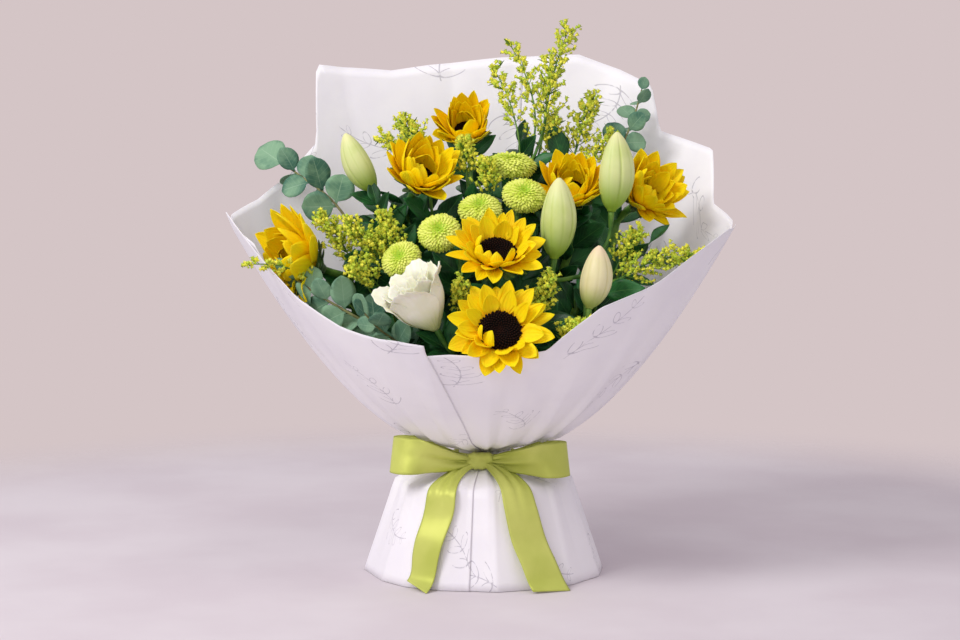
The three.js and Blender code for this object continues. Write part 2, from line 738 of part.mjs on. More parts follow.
const LILY_BUDS = [
  { name: 'lily_bud_tall', base: [115, -44, 336], facing: [-10, 4], size: [72, 16.5], stem: 'right' },
  { name: 'lily_bud_middle', base: [62, -88, 296], facing: [30, 4], size: [72, 16.5], stem: 'right' },
  { name: 'lily_bud_low', base: [92, -114, 254], facing: [20, 10], size: [56, 14.5], stem: 'right' },
  { name: 'lily_bud_left', base: [-102, -10, 352], facing: [176, 26], size: [60, 13.5], stem: 'left' },
];
const BUD_PROFILE = [[0, 0.28], [0.07, 0.6], [0.24, 0.93], [0.45, 1], [0.68, 0.8], [0.88, 0.42], [1, 0.08]];
const BUD_RIDGES = 3;
const LILY_STEMS = [
  { side: 'right', top: [86, -58, 262], axis: [-20, 16], radius: 3.6 },
  { side: 'left', bud: 'lily_bud_left', axis: [176, 26], radius: 3.2 },
];
const PEDICEL = 1.9;

function lilyBud({ base, facing, size: [length, radius] }) {
  const frame = headFrame(vec(...base), ...facing);
  const spokes = 12;
  const sections = BUD_PROFILE.map(([t, part]) => Array.from({ length: spokes }, (_, k) => {
    const turn = 2 * Math.PI * k / spokes;
    const lobe = 1 - 0.09 * (1 - Math.cos(BUD_RIDGES * turn)) / 2;
    const r = radius * part * lobe;
    return vec(r * Math.cos(turn), r * Math.sin(turn), length * t);
  }));
  return loft(sections).transform(frame.elements);
}

// ------------------------------------------------- green button chrysanthemums

const BUTTONS = [
  { name: 'chrysanthemum_top', place: [24, -16, 378], facing: [-80, 8], radius: 24, stem: 'a' },
  { name: 'chrysanthemum_right', place: [36, -54, 352], facing: [-82, 38], radius: 20.5, stem: 'a' },
  { name: 'chrysanthemum_middle', place: [-4, -70, 340], facing: [-92, 34], radius: 20, stem: 'b' },
  { name: 'chrysanthemum_left', place: [-40, -90, 320], facing: [-95, 50], radius: 20, stem: 'b' },
  { name: 'chrysanthemum_low_left', place: [-74, -101, 297], facing: [-112, 54], radius: 18.5, stem: 'c' },
];
const BUTTON_STEMS = [
  { key: 'a', radius: 2.2 },
  { key: 'b', radius: 2.2 },
  { key: 'c', radius: 2 },
];
const BUTTON_HEIGHT = 0.62;       // height of a head against its radius
const BUTTON_SPOKES = 16;
const BUTTON_CORE = 0.8;          // the ball under the quill tips, against the radius
const QUILL_DROP = 5;             // degrees by which a tip hangs below its root
// Rings of quills as [polar angle, how far the quills stand out].
const BUTTON_RINGS = [[128, 0.05], [108, 0.2], [88, 0.24], [69, 0.22], [51, 0.2], [34, 0.18], [18, 0.12]];

// A button head: a flattened ball in one skin, whose rings push every other
// point out into a quill tip, so that the tips stand in a net of dips.
function buttonHead({ place, facing, radius }) {
  const frame = headFrame(vec(...place), ...facing);
  const at = (polar, turn, part) => {
    const out = radius * part * Math.sin(polar * DEG);
    const height = radius * part * BUTTON_HEIGHT * Math.cos(polar * DEG);
    return vec(out * Math.cos(turn), out * Math.sin(turn), height);
  };
  const spokes = Array.from({ length: BUTTON_SPOKES }, (_, k) => k);
  const sections = BUTTON_RINGS.map(([polar, quill], ring) => spokes.map((k) => {
    const turn = 2 * Math.PI * k / BUTTON_SPOKES;
    const tip = (k + ring) % 2 === 0;
    return at(tip ? polar + QUILL_DROP : polar, turn, tip ? BUTTON_CORE + quill : BUTTON_CORE);
  }));
  const foot = Array(BUTTON_SPOKES).fill(vec(0, 0, -radius * BUTTON_HEIGHT));
  const dimple = Array(BUTTON_SPOKES).fill(vec(0, 0, radius * BUTTON_HEIGHT * 0.7));
  return loft([foot, ...sections, dimple].reverse()).transform(frame.elements);
}

// ---------------------------------------------------------------- lisianthus

const LISIANTHUS = {
  base: [-42, -138, 238], facing: [-158, 44], length: 50, mouth: 27, stemRadius: 2.2,
};
const LISIANTHUS_PETALS = [4, 2]; // in the outer and the inner layer
const CUP_THROAT = 3.2;
const CUP_THICK = 0.8;

// A broad petal that wraps round the cup and flares into a waved rim.
function cupPetal({ turn, length, mouth, layer, seed }) {
  const columns = 3;
  const rows = 2;
  const span = layer === 0 ? 118 : 128;
  return shell(columns, rows, (column, row, side) => {
    const t = row / rows;
    const u = column / columns - 0.5;
    const wave = t * (1.6 * Math.sin(9 * u + 6 * seed) + 5 * u);
    const angle = turn + span * DEG * u * (0.45 + 0.55 * Math.sqrt(t)) * (1 - 0.2 * t * t);
    const opening = mouth * (layer === 0 ? 1 : 0.62);
    const cup = CUP_THROAT + (opening - CUP_THROAT) * t ** 1.25;
    const radius = cup + wave + side * CUP_THICK - layer * CUP_THICK / 2;
    const height = length * t * (layer === 0 ? 1 : 0.97) * (1 - 0.16 * Math.abs(2 * u) ** 2.2 * t);
    return vec(radius * Math.cos(angle), radius * Math.sin(angle), height);
  });
}

function lisianthusPetals({ base, facing, length, mouth }) {
  const frame = headFrame(vec(...base), ...facing);
  const heart = new THREE.CylinderGeometry(4, 3.6, 16, 8).rotateX(Math.PI / 2).translate(0, 0, 8);
  const petals = [solid(heart.applyMatrix4(frame))];
  LISIANTHUS_PETALS.forEach((count, layer) => {
    for (let i = 0; i < count; i++) {
      const turn = 2 * Math.PI * (i + 0.5 * layer) / count;
      petals.push(cupPetal({ turn, length, mouth, layer, seed: i + 5 * layer }).transform(frame.elements));
    }
  });
  return fuse(petals);
}

// ----------------------------------------------------------------- greenery

const LOOK = heading(-90, 62);    // leaves turn their faces this way

// Goldenrod: a stem with plumes, each from where it leaves to its tip. The
// first plume ends the stem, and the others branch from it at their `leave`.
const GOLDENRODS = [
  { name: 'goldenrod_tall', plumes: [
    { from: [50, 12, 394], tip: [80, 72, 505], whorls: 9, reach: 17 },
    { leave: 0.8, from: [30, 14, 412], tip: [26, 46, 462], whorls: 3, reach: 10 }] },
  { name: 'goldenrod_right_back', plumes: [
    { from: [84, 30, 385], tip: [104, 70, 438], whorls: 6, reach: 12 },
    { leave: 0.8, from: [62, 30, 385], tip: [66, 62, 418], whorls: 3, reach: 10 }] },
  { name: 'goldenrod_left_back', plumes: [
    { from: [-58, 8, 385], tip: [-76, 34, 416], whorls: 5, reach: 12 }] },
  { name: 'goldenrod_centre', plumes: [
    { from: [-16, -22, 366], tip: [-20, -14, 398], whorls: 3, reach: 10 },
    { leave: 0.72, from: [4, -44, 350], tip: [2, -42, 380], whorls: 3, reach: 10 }] },
  { name: 'goldenrod_left', plumes: [
    { from: [-90, -76, 290], tip: [-122, -88, 326], whorls: 6, reach: 13 },
    { leave: 0.82, from: [-120, -66, 294], tip: [-146, -76, 330], whorls: 5, reach: 11 },
    { leave: 0.72, from: [-146, -84, 272], tip: [-212, -108, 293], whorls: 3, reach: 8 }] },
  { name: 'goldenrod_right', plumes: [
    { from: [118, -78, 276], tip: [192, -60, 296], whorls: 7, reach: 12 },
    { leave: 0.86, from: [120, -62, 288], tip: [140, -56, 318], whorls: 3, reach: 9 }] },
  { name: 'goldenrod_front', plumes: [
    { from: [44, -118, 246], tip: [58, -134, 282], whorls: 3, reach: 10 },
    { leave: 0.6, from: [-16, -112, 240], tip: [-22, -138, 278], whorls: 3, reach: 9 },
    { leave: 0.7, from: [70, -126, 222], tip: [82, -150, 242], whorls: 3, reach: 9 }] },
];
const GOLDENROD_STEM = 1.5;
const GOLDENROD_STALK = 1.1;
const CURVE_TRIES = 30;
const CURVE_POINTS = 9;           // steps along a curve that is made a rod

// A curve through the points that is clear of all other pieces. On later
// tries the points after the first swing aside, the last ones least.
function clearCurve(points, radius, owner, seed) {
  for (let n = 0; n < CURVE_TRIES; n++) {
    const aside = 2 * Math.PI * draw(n, seed);
    const swing = vec(Math.cos(aside), Math.sin(aside), 0.4).multiplyScalar(1.6 * n);
    const moved = points.map((point, i) => (i === 0 ? point
      : point.clone().addScaledVector(swing, 1 - 0.7 * i / (points.length - 1))));
    const curve = new THREE.CatmullRomCurve3(moved, false, 'centripetal');
    const trial = rod(curve.getSpacedPoints(CURVE_POINTS), radius + GAP + CURVE_SLACK, 4, 15);
    if (isClear(trial, owner)) return curve;
  }
  throw new Error(`no clear way for a branch of ${owner}`);
}

// A plume's way runs from its stem and arches on to its tip.
function plumePath({ from, tip }, start, owner, seed) {
  const [low, high] = [vec(...from), vec(...tip)];
  const middle = low.clone().lerp(high, 0.5).add(vec(0, 0, low.distanceTo(high) * 0.1));
  return clearCurve([start, low, middle, high], GOLDENROD_STALK, owner, seed);
}

// A plume in one skin: a thin six-sided stalk whose whorls push three of its
// six edges out into bud clusters, turn and turn about.
function plume({ from, tip, whorls, reach }, path, owner, seed) {
  const first = 1 - vec(...from).distanceTo(vec(...tip)) / path.getLength();
  const ring = (t, radii, ahead) => {
    const centre = path.getPointAt(Math.min(t, 1));
    const tangent = path.getTangentAt(Math.min(t, 1));
    const side = tangent.clone().cross(vec(0.3, 1, 0.1)).normalize();
    return radii.map((radius, k) => {
      const out = side.clone().applyAxisAngle(tangent, k * 60 * DEG);
      return centre.clone().addScaledVector(out, radius).addScaledVector(tangent, radius * ahead);
    });
  };
  const thin = Array(6).fill(GOLDENROD_STALK);
  const sections = [];
  const bare = Math.max(1, Math.round(first * path.getLength() / 30));
  for (let i = 0; i < bare; i++) sections.push(ring(first * i / bare, thin, 0));
  for (let w = 0; w < whorls; w++) {
    const part = w / whorls;
    const t = first + (1 - first) * part;
    sections.push(ring(t, thin, 0));
    const star = thin.map((radius, k) => {
      if ((k + w) % 2) return radius;
      const full = reach * (1.1 - 0.6 * part) * (0.75 + 0.5 * draw(6 * w + k, seed));
      for (const trial of [full, 0.7 * full, 0.45 * full]) {
        const end = ring(t, [0, 1, 2, 3, 4, 5].map((j) => (j === k ? trial : 0)), 0.9)[k];
        const centre = path.getPointAt(t);
        const probe = rod([centre, centre.clone().lerp(end, 0.5), end], 2.3, 4, 30);
        if (isClear(probe, owner)) return trial;
      }
      return radius;
    });
    sections.push(ring(t + (1 - first) * 0.3 / whorls, star, 0.75));
  }
  const end = path.getPointAt(1);
  sections.push(ring(0.995, thin, 0), Array(6).fill(end));
  return loft(sections);
}

// Eucalyptus and leaf sprays: the stem goes on through `path`, with leaves in
// pairs along its last `leafy` part, each pair turned from the one before.
const SPRAYS = [
  { name: 'eucalyptus_left_back', look: 'eucalyptus', pairs: 4, leafy: 0.6, size: [30, 30], seed: 61,
    path: [[-112, -14, 306], [-142, 8, 344], [-170, 30, 364], [-190, 50, 376]] },
  { name: 'eucalyptus_left_low', look: 'eucalyptus', pairs: 4, leafy: 0.8, size: [32, 26], seed: 62,
    path: [[-84, -84, 226], [-118, -104, 248], [-150, -96, 266], [-178, -78, 284]] },
  { name: 'eucalyptus_front_left', look: 'eucalyptus', pairs: 3, leafy: 0.7, size: [30, 27], seed: 63,
    path: [[-58, -84, 206], [-80, -112, 226], [-96, -136, 242], [-104, -142, 252]] },
  { name: 'eucalyptus_right_back', look: 'eucalyptus', pairs: 3, leafy: 0.42, size: [26, 22], seed: 64,
    path: [[104, 40, 352], [128, 66, 388], [144, 88, 420], [152, 100, 446]] },
  { name: 'leaves_left', look: 'dark', pairs: 4, leafy: 0.9, size: [46, 21], seed: 65,
    path: [[-72, -34, 262], [-90, -30, 306], [-98, -24, 338]] },
  { name: 'leaves_right', look: 'dark', pairs: 4, leafy: 0.95, size: [46, 21], seed: 66,
    path: [[74, -62, 226], [112, -52, 268], [150, -36, 306]] },
  { name: 'leaves_back', look: 'dark', pairs: 3, leafy: 0.7, size: [46, 22], seed: 67,
    path: [[14, 14, 300], [28, 24, 350], [34, 30, 392]] },
];
const SPRAY_LOOKS = {
  eucalyptus: { shape: ROUND, material: EUCALYPTUS, radius: 1.4, splay: 1.1, thick: 0.9, stagger: 0.12 },
  dark: { shape: LANCE, material: DARK_LEAF, radius: 1.6, splay: 0.8, thick: 1, stagger: 0.5 },
};

const LEAF_ROOT = 0.6;            // how deep a leaf stalk starts in its stem
const LEAF_ROOT_SHARE = 1;        // mm3 that two leaves may share at their roots

function sprayLeaves(spray, path, owner) {
  const { shape, splay, thick, stagger } = SPRAY_LOOKS[spray.look];
  const leaves = [];
  for (let i = 0; i < 2 * spray.pairs + 1; i++) {
    const pair = Math.floor(i / 2);
    const last = i === 2 * spray.pairs;
    const rise = (pair + stagger * (i % 2)) / spray.pairs;
    const t = last ? 0.995 : 1 - spray.leafy * 0.5 * (1 - rise);
    const root = path.getPointAt(t);
    const tangent = path.getTangentAt(t);
    const grown = last ? 0.62 : 1 - 0.35 * pair / spray.pairs + 0.2 * (draw(i, spray.seed) - 0.5);
    const shapeOf = (n, grow) => {
      const side = tangent.clone().cross(LOOK).normalize().multiplyScalar(i % 2 ? 1 : -1);
      side.applyAxisAngle(tangent, ((pair % 2) * 70 + 50 * (draw(i, spray.seed + 1) - 0.5) + 43 * n) * DEG);
      const ahead = tangent.clone().addScaledVector(side, last ? 0.1 : splay).normalize();
      const face = LOOK.clone().addScaledVector(tangent, 0.5);
      face.addScaledVector(ahead, -face.dot(ahead)).normalize();
      const start = root.clone().addScaledVector(ahead, -LEAF_ROOT);
      const [length, width] = spray.size.map((size) => size * grown * (1 - 0.06 * n));
      return leaf({ root: start, ahead, face, length, width, bend: 0.14, thick, shape, grow });
    };
    const apart = (n, grow) => {
      const shape = shapeOf(n, grow);
      return leaves.every((other) => other.intersect(shape).volume() < LEAF_ROOT_SHARE) ? shape : null;
    };
    const grownLeaf = firstClear(owner, 8, apart);
    if (grownLeaf) leaves.push(grownLeaf);
  }
  return leaves;
}

// ------------------------------------------------------------ the assembly

function makeHeads() {
  for (const bud of LILY_BUDS) {
    const shape = lilyBud(bud);
    keepClearOf(shape, bud.name);
    addPiece(bud.name, shape, BUD);
  }
  for (const button of BUTTONS) {
    const shape = buttonHead(button);
    keepClearOf(shape, button.name);
    addPiece(button.name, shape, LIME);
  }
  const lisianthus = lisianthusPetals(LISIANTHUS);
  keepClearOf(lisianthus, 'lisianthus_petals');
  addPiece('lisianthus_petals', lisianthus, CREAM);
  SUNFLOWERS.forEach((bloom, i) => {
    const frame = headFrame(vec(...bloom.place), ...bloom.facing);
    const disc = discFlorets(bloom, frame);
    keepClearOf(disc, `${bloom.name}_disc`);
    addPiece(`${bloom.name}_disc`, disc, DISC);
    const petals = rayPetals(bloom, frame, `${bloom.name}_petals`, i + 1);
    keepClearOf(petals, `${bloom.name}_petals`);
    addPiece(`${bloom.name}_petals`, petals, YELLOW);
  });
}

// A branch from a stem to a head that sits on its end.
function branch(start, lead, end, axis, radius) {
  const reach = start.distanceTo(end);
  return rod([
    start.clone().addScaledVector(lead, -3),
    start.clone().addScaledVector(lead, reach * 0.25),
    end.clone().addScaledVector(axis, -reach * 0.3),
    end,
  ], radius, 5, BRANCH_STEP);
}

// The stems, each with what it carries: `finish` adds the greens of a piece.
function listStems() {
  const stems = [];
  SUNFLOWERS.forEach((bloom, i) => {
    const axis = heading(...bloom.facing);
    const depth = RING_THICK + GAP + CALYX_DEPTH - 2;
    const frame = headFrame(vec(...bloom.place), ...bloom.facing);
    const name = `${bloom.name}_stem_and_calyx`;
    stems.push({
      name, axis, seed: 20 + i, radius: SUNFLOWER_STEM, sides: 5, straight: 34,
      middle: bloom.middle, look: LEAF_GREEN,
      top: vec(...bloom.place).addScaledVector(axis, -depth),
      finish: () => calyx(bloom, frame, name, 30 + i),
    });
  });
  const budSeat = (bud) => vec(...bud.base).addScaledVector(heading(...bud.facing), -GAP);
  for (const { side, top, bud: only, axis, radius } of LILY_STEMS) {
    const lead = heading(...axis);
    const end = only ? budSeat(LILY_BUDS.find((bud) => bud.name === only)) : vec(...top);
    const branched = only ? [] : LILY_BUDS.filter((bud) => bud.stem === side);
    stems.push({
      name: `lily_stem_${side}`, radius, sides: 5, axis: lead, seed: side.length, straight: 30, top: end,
      look: LEAF_GREEN,
      finish: () => branched.map((bud) => (
        branch(end, lead, budSeat(bud), heading(...bud.facing), PEDICEL))),
    });
  }
  for (const { key, radius } of BUTTON_STEMS) {
    const name = `chrysanthemum_stem_${key}`;
    const heads = BUTTONS.filter((button) => button.stem === key).map((button) => {
      const aim = heading(...button.facing);
      const under = -button.radius * BUTTON_HEIGHT - GAP;
      return { aim, end: vec(...button.place).addScaledVector(aim, under) };
    });
    const alone = heads.length === 1;
    const meet = heads.reduce((sum, head) => sum.addScaledVector(head.end, 1 / heads.length), vec());
    if (!alone) meet.add(vec(0, 6, -34));
    stems.push({
      name, radius, sides: 5, seed: 50 + key.charCodeAt(0), straight: 16, look: LEAF_GREEN,
      axis: alone ? heads[0].aim : heading(90, 0),
      top: alone ? heads[0].end : meet,
      finish: () => (alone ? [] : heads.map(({ end, aim }) => (
        branch(meet, vec(0, 0, 1), end, aim, radius - 0.5)))),
    });
  }
  const { base, facing, stemRadius } = LISIANTHUS;
  const lisianthusAxis = heading(...facing);
  stems.push({
    name: 'lisianthus_stem', radius: stemRadius, sides: 5, seed: 71, straight: 20,
    look: LEAF_GREEN, axis: lisianthusAxis,
    top: vec(...base).addScaledVector(lisianthusAxis, -GAP), finish: () => [],
  });
  GOLDENRODS.forEach(({ name, plumes }, i) => {
    const from = vec(...plumes[0].from);
    const lead = vec(...plumes[0].tip).sub(from).normalize();
    stems.push({
      name, radius: GOLDENROD_STEM, seed: 80 + i, straight: 14, sides: 4,
      look: GOLDENROD, axis: lead, top: from,
      finish: (route) => plumes.map((spray, k) => {
        const before = from.clone().addScaledVector(lead, -4);
        const seed = 90 + 7 * i + k;
        const path = plumePath(spray, k === 0 ? before : jointAt(route, spray.leave), name, seed);
        return plume(spray, path, name, seed);
      }),
    });
  });
  SPRAYS.forEach((spray) => {
    const { material: look, radius } = SPRAY_LOOKS[spray.look];
    const points = spray.path.map((point) => vec(...point));
    stems.push({
      name: spray.name, radius, seed: spray.seed, straight: 18, sides: 4, look,
      axis: points[1].clone().sub(points[0]).normalize(), top: points[0],
      finish: () => {
        const before = points[0].clone().lerp(points[1], -4 / points[0].distanceTo(points[1]));
        const path = clearCurve([before, ...points], radius, spray.name, spray.seed + 7);
        const stalk = rod(path.getSpacedPoints(CURVE_POINTS), radius * 0.8, 4, BRANCH_STEP);
        return [stalk, ...sprayLeaves(spray, path, spray.name)];
      },
    });
  });
  return stems;
}

function makeStems() {
  const stems = listStems();
  settleSlots(stems);
  const routed = stems.map((stem) => {
    const { route, shape } = clearStem(stem, stem.name);
    keepClearOf(shape, stem.name);
    return { stem, route, shape };
  });
  for (const { stem, route, shape } of routed) {
    const whole = fuse([shape, ...stem.finish(route)]);
    keepClearOf(whole, stem.name);
    addPiece(stem.name, whole, stem.look);
  }
}

makeWrap();
makeRibbon();
makeHeads();
makeStems();

export default bunch;
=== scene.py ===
# %% [markdown]
# # A hand-tied bunch of sunflowers in a paper wrap
#
# The imported model gives every stem, bloom, paper sheet and ribbon its place. This lesson dresses each of
# them: thin paper with gathers, satin with a weave and a drifting tone that is partly painted sheen, petals with
# veins, discs full of florets. Every piece is a surface worked out with numpy, stands where the imported solid
# stands, and takes that solid's place.

# %% Load the imported bunch
import math

import bpy
import numpy as np
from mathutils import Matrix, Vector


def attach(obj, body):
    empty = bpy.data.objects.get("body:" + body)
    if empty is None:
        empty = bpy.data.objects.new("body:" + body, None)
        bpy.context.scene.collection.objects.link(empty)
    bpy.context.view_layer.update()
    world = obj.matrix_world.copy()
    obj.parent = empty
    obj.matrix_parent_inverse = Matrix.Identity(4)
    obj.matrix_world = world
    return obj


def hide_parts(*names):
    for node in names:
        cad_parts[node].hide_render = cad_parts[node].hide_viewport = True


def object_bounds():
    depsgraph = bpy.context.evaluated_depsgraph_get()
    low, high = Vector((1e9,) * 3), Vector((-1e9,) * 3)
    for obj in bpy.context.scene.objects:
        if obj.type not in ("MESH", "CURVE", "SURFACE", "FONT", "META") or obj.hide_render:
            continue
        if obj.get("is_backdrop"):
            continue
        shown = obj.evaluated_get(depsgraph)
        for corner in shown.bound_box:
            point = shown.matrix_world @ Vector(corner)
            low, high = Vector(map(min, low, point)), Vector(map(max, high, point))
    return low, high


MM = 0.001
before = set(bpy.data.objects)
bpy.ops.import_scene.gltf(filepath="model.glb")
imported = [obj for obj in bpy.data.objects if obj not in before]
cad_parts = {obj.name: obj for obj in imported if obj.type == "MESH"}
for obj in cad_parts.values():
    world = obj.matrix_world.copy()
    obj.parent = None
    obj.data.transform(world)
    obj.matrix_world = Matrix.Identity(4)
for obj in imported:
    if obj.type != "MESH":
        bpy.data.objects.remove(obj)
cad_low, cad_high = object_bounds()
print("packed nodes:", len(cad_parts), "size:", [round(h - l, 3) for l, h in zip(cad_low, cad_high)])

# %% [markdown]
# ## The studio
#
# A bunch like this is photographed from the front, a little above its middle, with a long lens that keeps
# its sides parallel. The floor is a pale round table that fades out before its rim, so it gives a soft
# horizon from every side, and no wall stands in the way of a camera that looks from behind.

# %% Camera
def put(name, data):
    """An object for a mesh, a camera or a lamp, linked to the scene."""
    made = bpy.data.objects.new(name, data)
    bpy.context.scene.collection.objects.link(made)
    return made


lens = bpy.data.cameras.new("studio_camera")
lens.lens = 85
lens.sensor_width = 36
camera = put("studio_camera", lens)
camera.location = (-0.004, -2.1, 0.435)
camera.rotation_euler = (math.radians(84.5), 0, 0)
bpy.context.scene.camera = camera
bpy.context.scene.view_settings.view_transform = "Standard"
print("camera at", tuple(round(c, 3) for c in camera.location))

# %% [markdown]
# ## Small tools for surfaces
#
# Every piece below is one or more patches. A patch holds its points, its faces with their places on the
# piece's own UV map, a tone from 0 to 1 that lets two petals differ and on a lily bud paints shade into its
# grooves, and the number of its finish. Petals and leaves are open sheets that a Solidify modifier closes, and
# stems are tubes with a face at each end.

# %% Directions and smooth paths
def unit(vectors):
    """Each vector divided by its own length."""
    return vectors / np.maximum(np.linalg.norm(vectors, axis=-1, keepdims=True), 1e-9)


def full_circle(count):
    """Turns at even steps all the way round, in radians, without the last, which is the first again."""
    return np.linspace(0, 2 * np.pi, count, endpoint=False)


def around(radius, turn, height):
    """Points at a radius and a turn, in radians, round the upright axis, and at a height."""
    return np.stack(np.broadcast_arrays(radius * np.cos(turn), radius * np.sin(turn), height), -1)


def heading(azimuth, lean):
    """A unit vector that leans by `lean` degrees from straight up, towards `azimuth` from +X to +Y."""
    azimuth, lean = np.radians(azimuth), np.radians(lean)
    return around(np.sin(lean), azimuth, np.cos(lean))


def head_axes(azimuth, lean):
    """The three axes of a bloom as rows: two across its face and, last, the way that it looks."""
    look = heading(azimuth, lean)
    side = heading(azimuth + 90, 90)
    return np.stack([np.cross(side, look), side, look])


def run_of(points):
    """How far along a line of points each of them lies."""
    return np.concatenate([[0], np.cumsum(np.linalg.norm(np.diff(points, axis=0), axis=1))])


def smooth_path(points, count):
    """Points at even steps on a curve through `points`: each span is a cubic with the slopes of its chords."""
    points = np.asarray(points, float)
    reach = run_of(points)
    slope = np.gradient(points, reach, axis=0)
    s = np.linspace(0, reach[-1], count)
    k = np.clip(np.searchsorted(reach, s, side="right") - 1, 0, len(points) - 2)
    span = (reach[k + 1] - reach[k])[:, None]
    t = (s - reach[k])[:, None] / span
    start = (1 + 2 * t) * (1 - t) ** 2 * points[k] + t * (1 - t) ** 2 * span * slope[k]
    return start + t * t * (3 - 2 * t) * points[k + 1] + t * t * (t - 1) * span * slope[k + 1]


def ease(x, low, high):
    """0 below `low`, 1 above `high`, and a smooth cubic step between them."""
    t = np.clip((x - low) / (high - low), 0, 1)
    return t * t * (3 - 2 * t)


def fan(turn, side, up):
    """A direction for each turn, which goes from `side` towards `up`."""
    return np.cos(turn)[:, None] * side + np.sin(turn)[:, None] * up


def axes_along(aim, other):
    """Three axes for each aim: one square to it and to `other`, one square to both, and the aim itself."""
    side = unit(np.cross(aim, other))
    return np.stack([side, np.cross(aim, side), aim], 1)


def on_stalk(stalk, share):
    """The places at some shares of a stalk, and the way that it runs there."""
    steps = np.linspace(0, 1, len(stalk))
    place, ahead = (np.stack([np.interp(share, steps, line[:, k]) for k in range(3)], -1)
                    for line in (stalk, unit(np.gradient(stalk, axis=0))))
    return place, unit(ahead)


def grid_of(rows, columns):
    """The two parameters of a blade: 0 to 1 along it, as a column, and -1 to 1 across it, as a row."""
    return np.linspace(0, 1, rows)[:, None], np.linspace(-1, 1, columns)[None]


# %% Patches
class Patch:
    """Points, faces as {corners: (point numbers, uv)}, a tone a point and a finish number."""

    def __init__(self, points, faces, tone=0.5, finish=0):
        self.points = np.asarray(points, float).reshape(-1, 3)
        self.faces = faces
        self.tone = np.broadcast_to(np.asarray(tone, float), len(self.points)).copy()
        self.finish = finish


def grid_faces(rows, columns, closed=False):
    """The quads between neighbours of a grid of points, and the uv of their corners, from 0 to 1 both ways."""
    steps = columns if closed else columns - 1
    i, j = np.meshgrid(np.arange(rows - 1), np.arange(steps), indexing="ij")
    right = (j + 1) % columns
    quads = np.stack([i * columns + j, i * columns + right, (i + 1) * columns + right, (i + 1) * columns + j], -1)
    u = np.stack([j, j + 1, j + 1, j], -1) / steps
    v = np.stack([i, i, i + 1, i + 1], -1) / (rows - 1)
    return quads.reshape(-1, 4), np.stack([u, v], -1).reshape(-1, 4, 2)


def sheets(points, tone=0.5, finish=0):
    """Open sheets from an array of (sheet, row, column, xyz), all with the same grid."""
    count, rows, columns = points.shape[:3]
    quads, uv = grid_faces(rows, columns)
    steps = np.arange(count)[:, None, None] * rows * columns
    tones = np.repeat(np.broadcast_to(tone, count), rows * columns)
    return Patch(points, {4: ((quads + steps).reshape(-1, 4), np.tile(uv, (count, 1, 1)))}, tones, finish)


def blade(across, lift, along, finish=0):
    """One open sheet from its three coordinates, each a function of the two parameters."""
    return sheets(np.stack(np.broadcast_arrays(across, lift, along), -1)[None], finish=finish)


def ring_surface(points, tone=0.5, finish=0):
    """A closed skin over rings of points (ring, point, xyz), with one flat face at each end."""
    rows, columns = points.shape[:2]
    quads, uv = grid_faces(rows, columns, closed=True)
    flat = points.reshape(-1, 3)
    corners = flat[quads] - flat.mean(axis=0)
    volume = np.einsum("ij,ij->", corners[:, 0], np.cross(corners[:, 1], corners[:, 2]))
    caps = np.stack([np.arange(columns)[::-1], (rows - 1) * columns + np.arange(columns)])
    cap_uv = np.stack([np.full((2, columns), 0.5), np.repeat([[0.0], [1.0]], columns, axis=1)], -1)
    if volume < 0:
        quads, uv, caps = quads[:, ::-1], uv[:, ::-1], caps[:, ::-1]
    if columns == 4:
        return Patch(flat, {4: (np.concatenate([quads, caps]), np.concatenate([uv, cap_uv]))}, tone, finish)
    return Patch(flat, {4: (quads, uv), columns: (caps, cap_uv)}, tone, finish)


def tube(path, radius, sides, finish=0):
    """A tube: at each point of the path, a circle that stands square to the path."""
    ahead = unit(np.gradient(path, axis=0))
    side = unit(np.cross(ahead, [0.21, 1.0, 0.13]))
    up = np.cross(side, ahead)
    turn = full_circle(sides)[:, None]
    radius = np.broadcast_to(radius, len(path))[:, None, None]
    rings = path[:, None] + radius * (np.cos(turn) * side[:, None] + np.sin(turn) * up[:, None])
    return ring_surface(rings, finish=finish)


def copies(patch, places, axes, sizes, tones):
    """The patch again at each place: its points times a size, turned so that its axes are the given rows."""
    count, n = len(places), len(patch.points)
    sizes = np.broadcast_to(np.reshape(sizes, (count, -1)), (count, 3))
    points = np.einsum("cnk,ckj->cnj", patch.points[None] * sizes[:, None], axes) + places[:, None]
    steps = (np.arange(count) * n)[:, None, None]
    faces = {k: ((index + steps).reshape(-1, k), np.tile(uv, (count, 1, 1)))
             for k, (index, uv) in patch.faces.items()}
    return Patch(points, faces, np.clip(np.repeat(tones, n) + np.tile(patch.tone - 0.5, count), 0, 1), patch.finish)


# %% From patches to a piece
# How thick each kind of sheet is, in millimetres.
THICK = dict(paper=0.35, ribbon=0.4, ray=0.35, sepal=0.3, quill=0.25, cream=0.3, leaf=0.3)


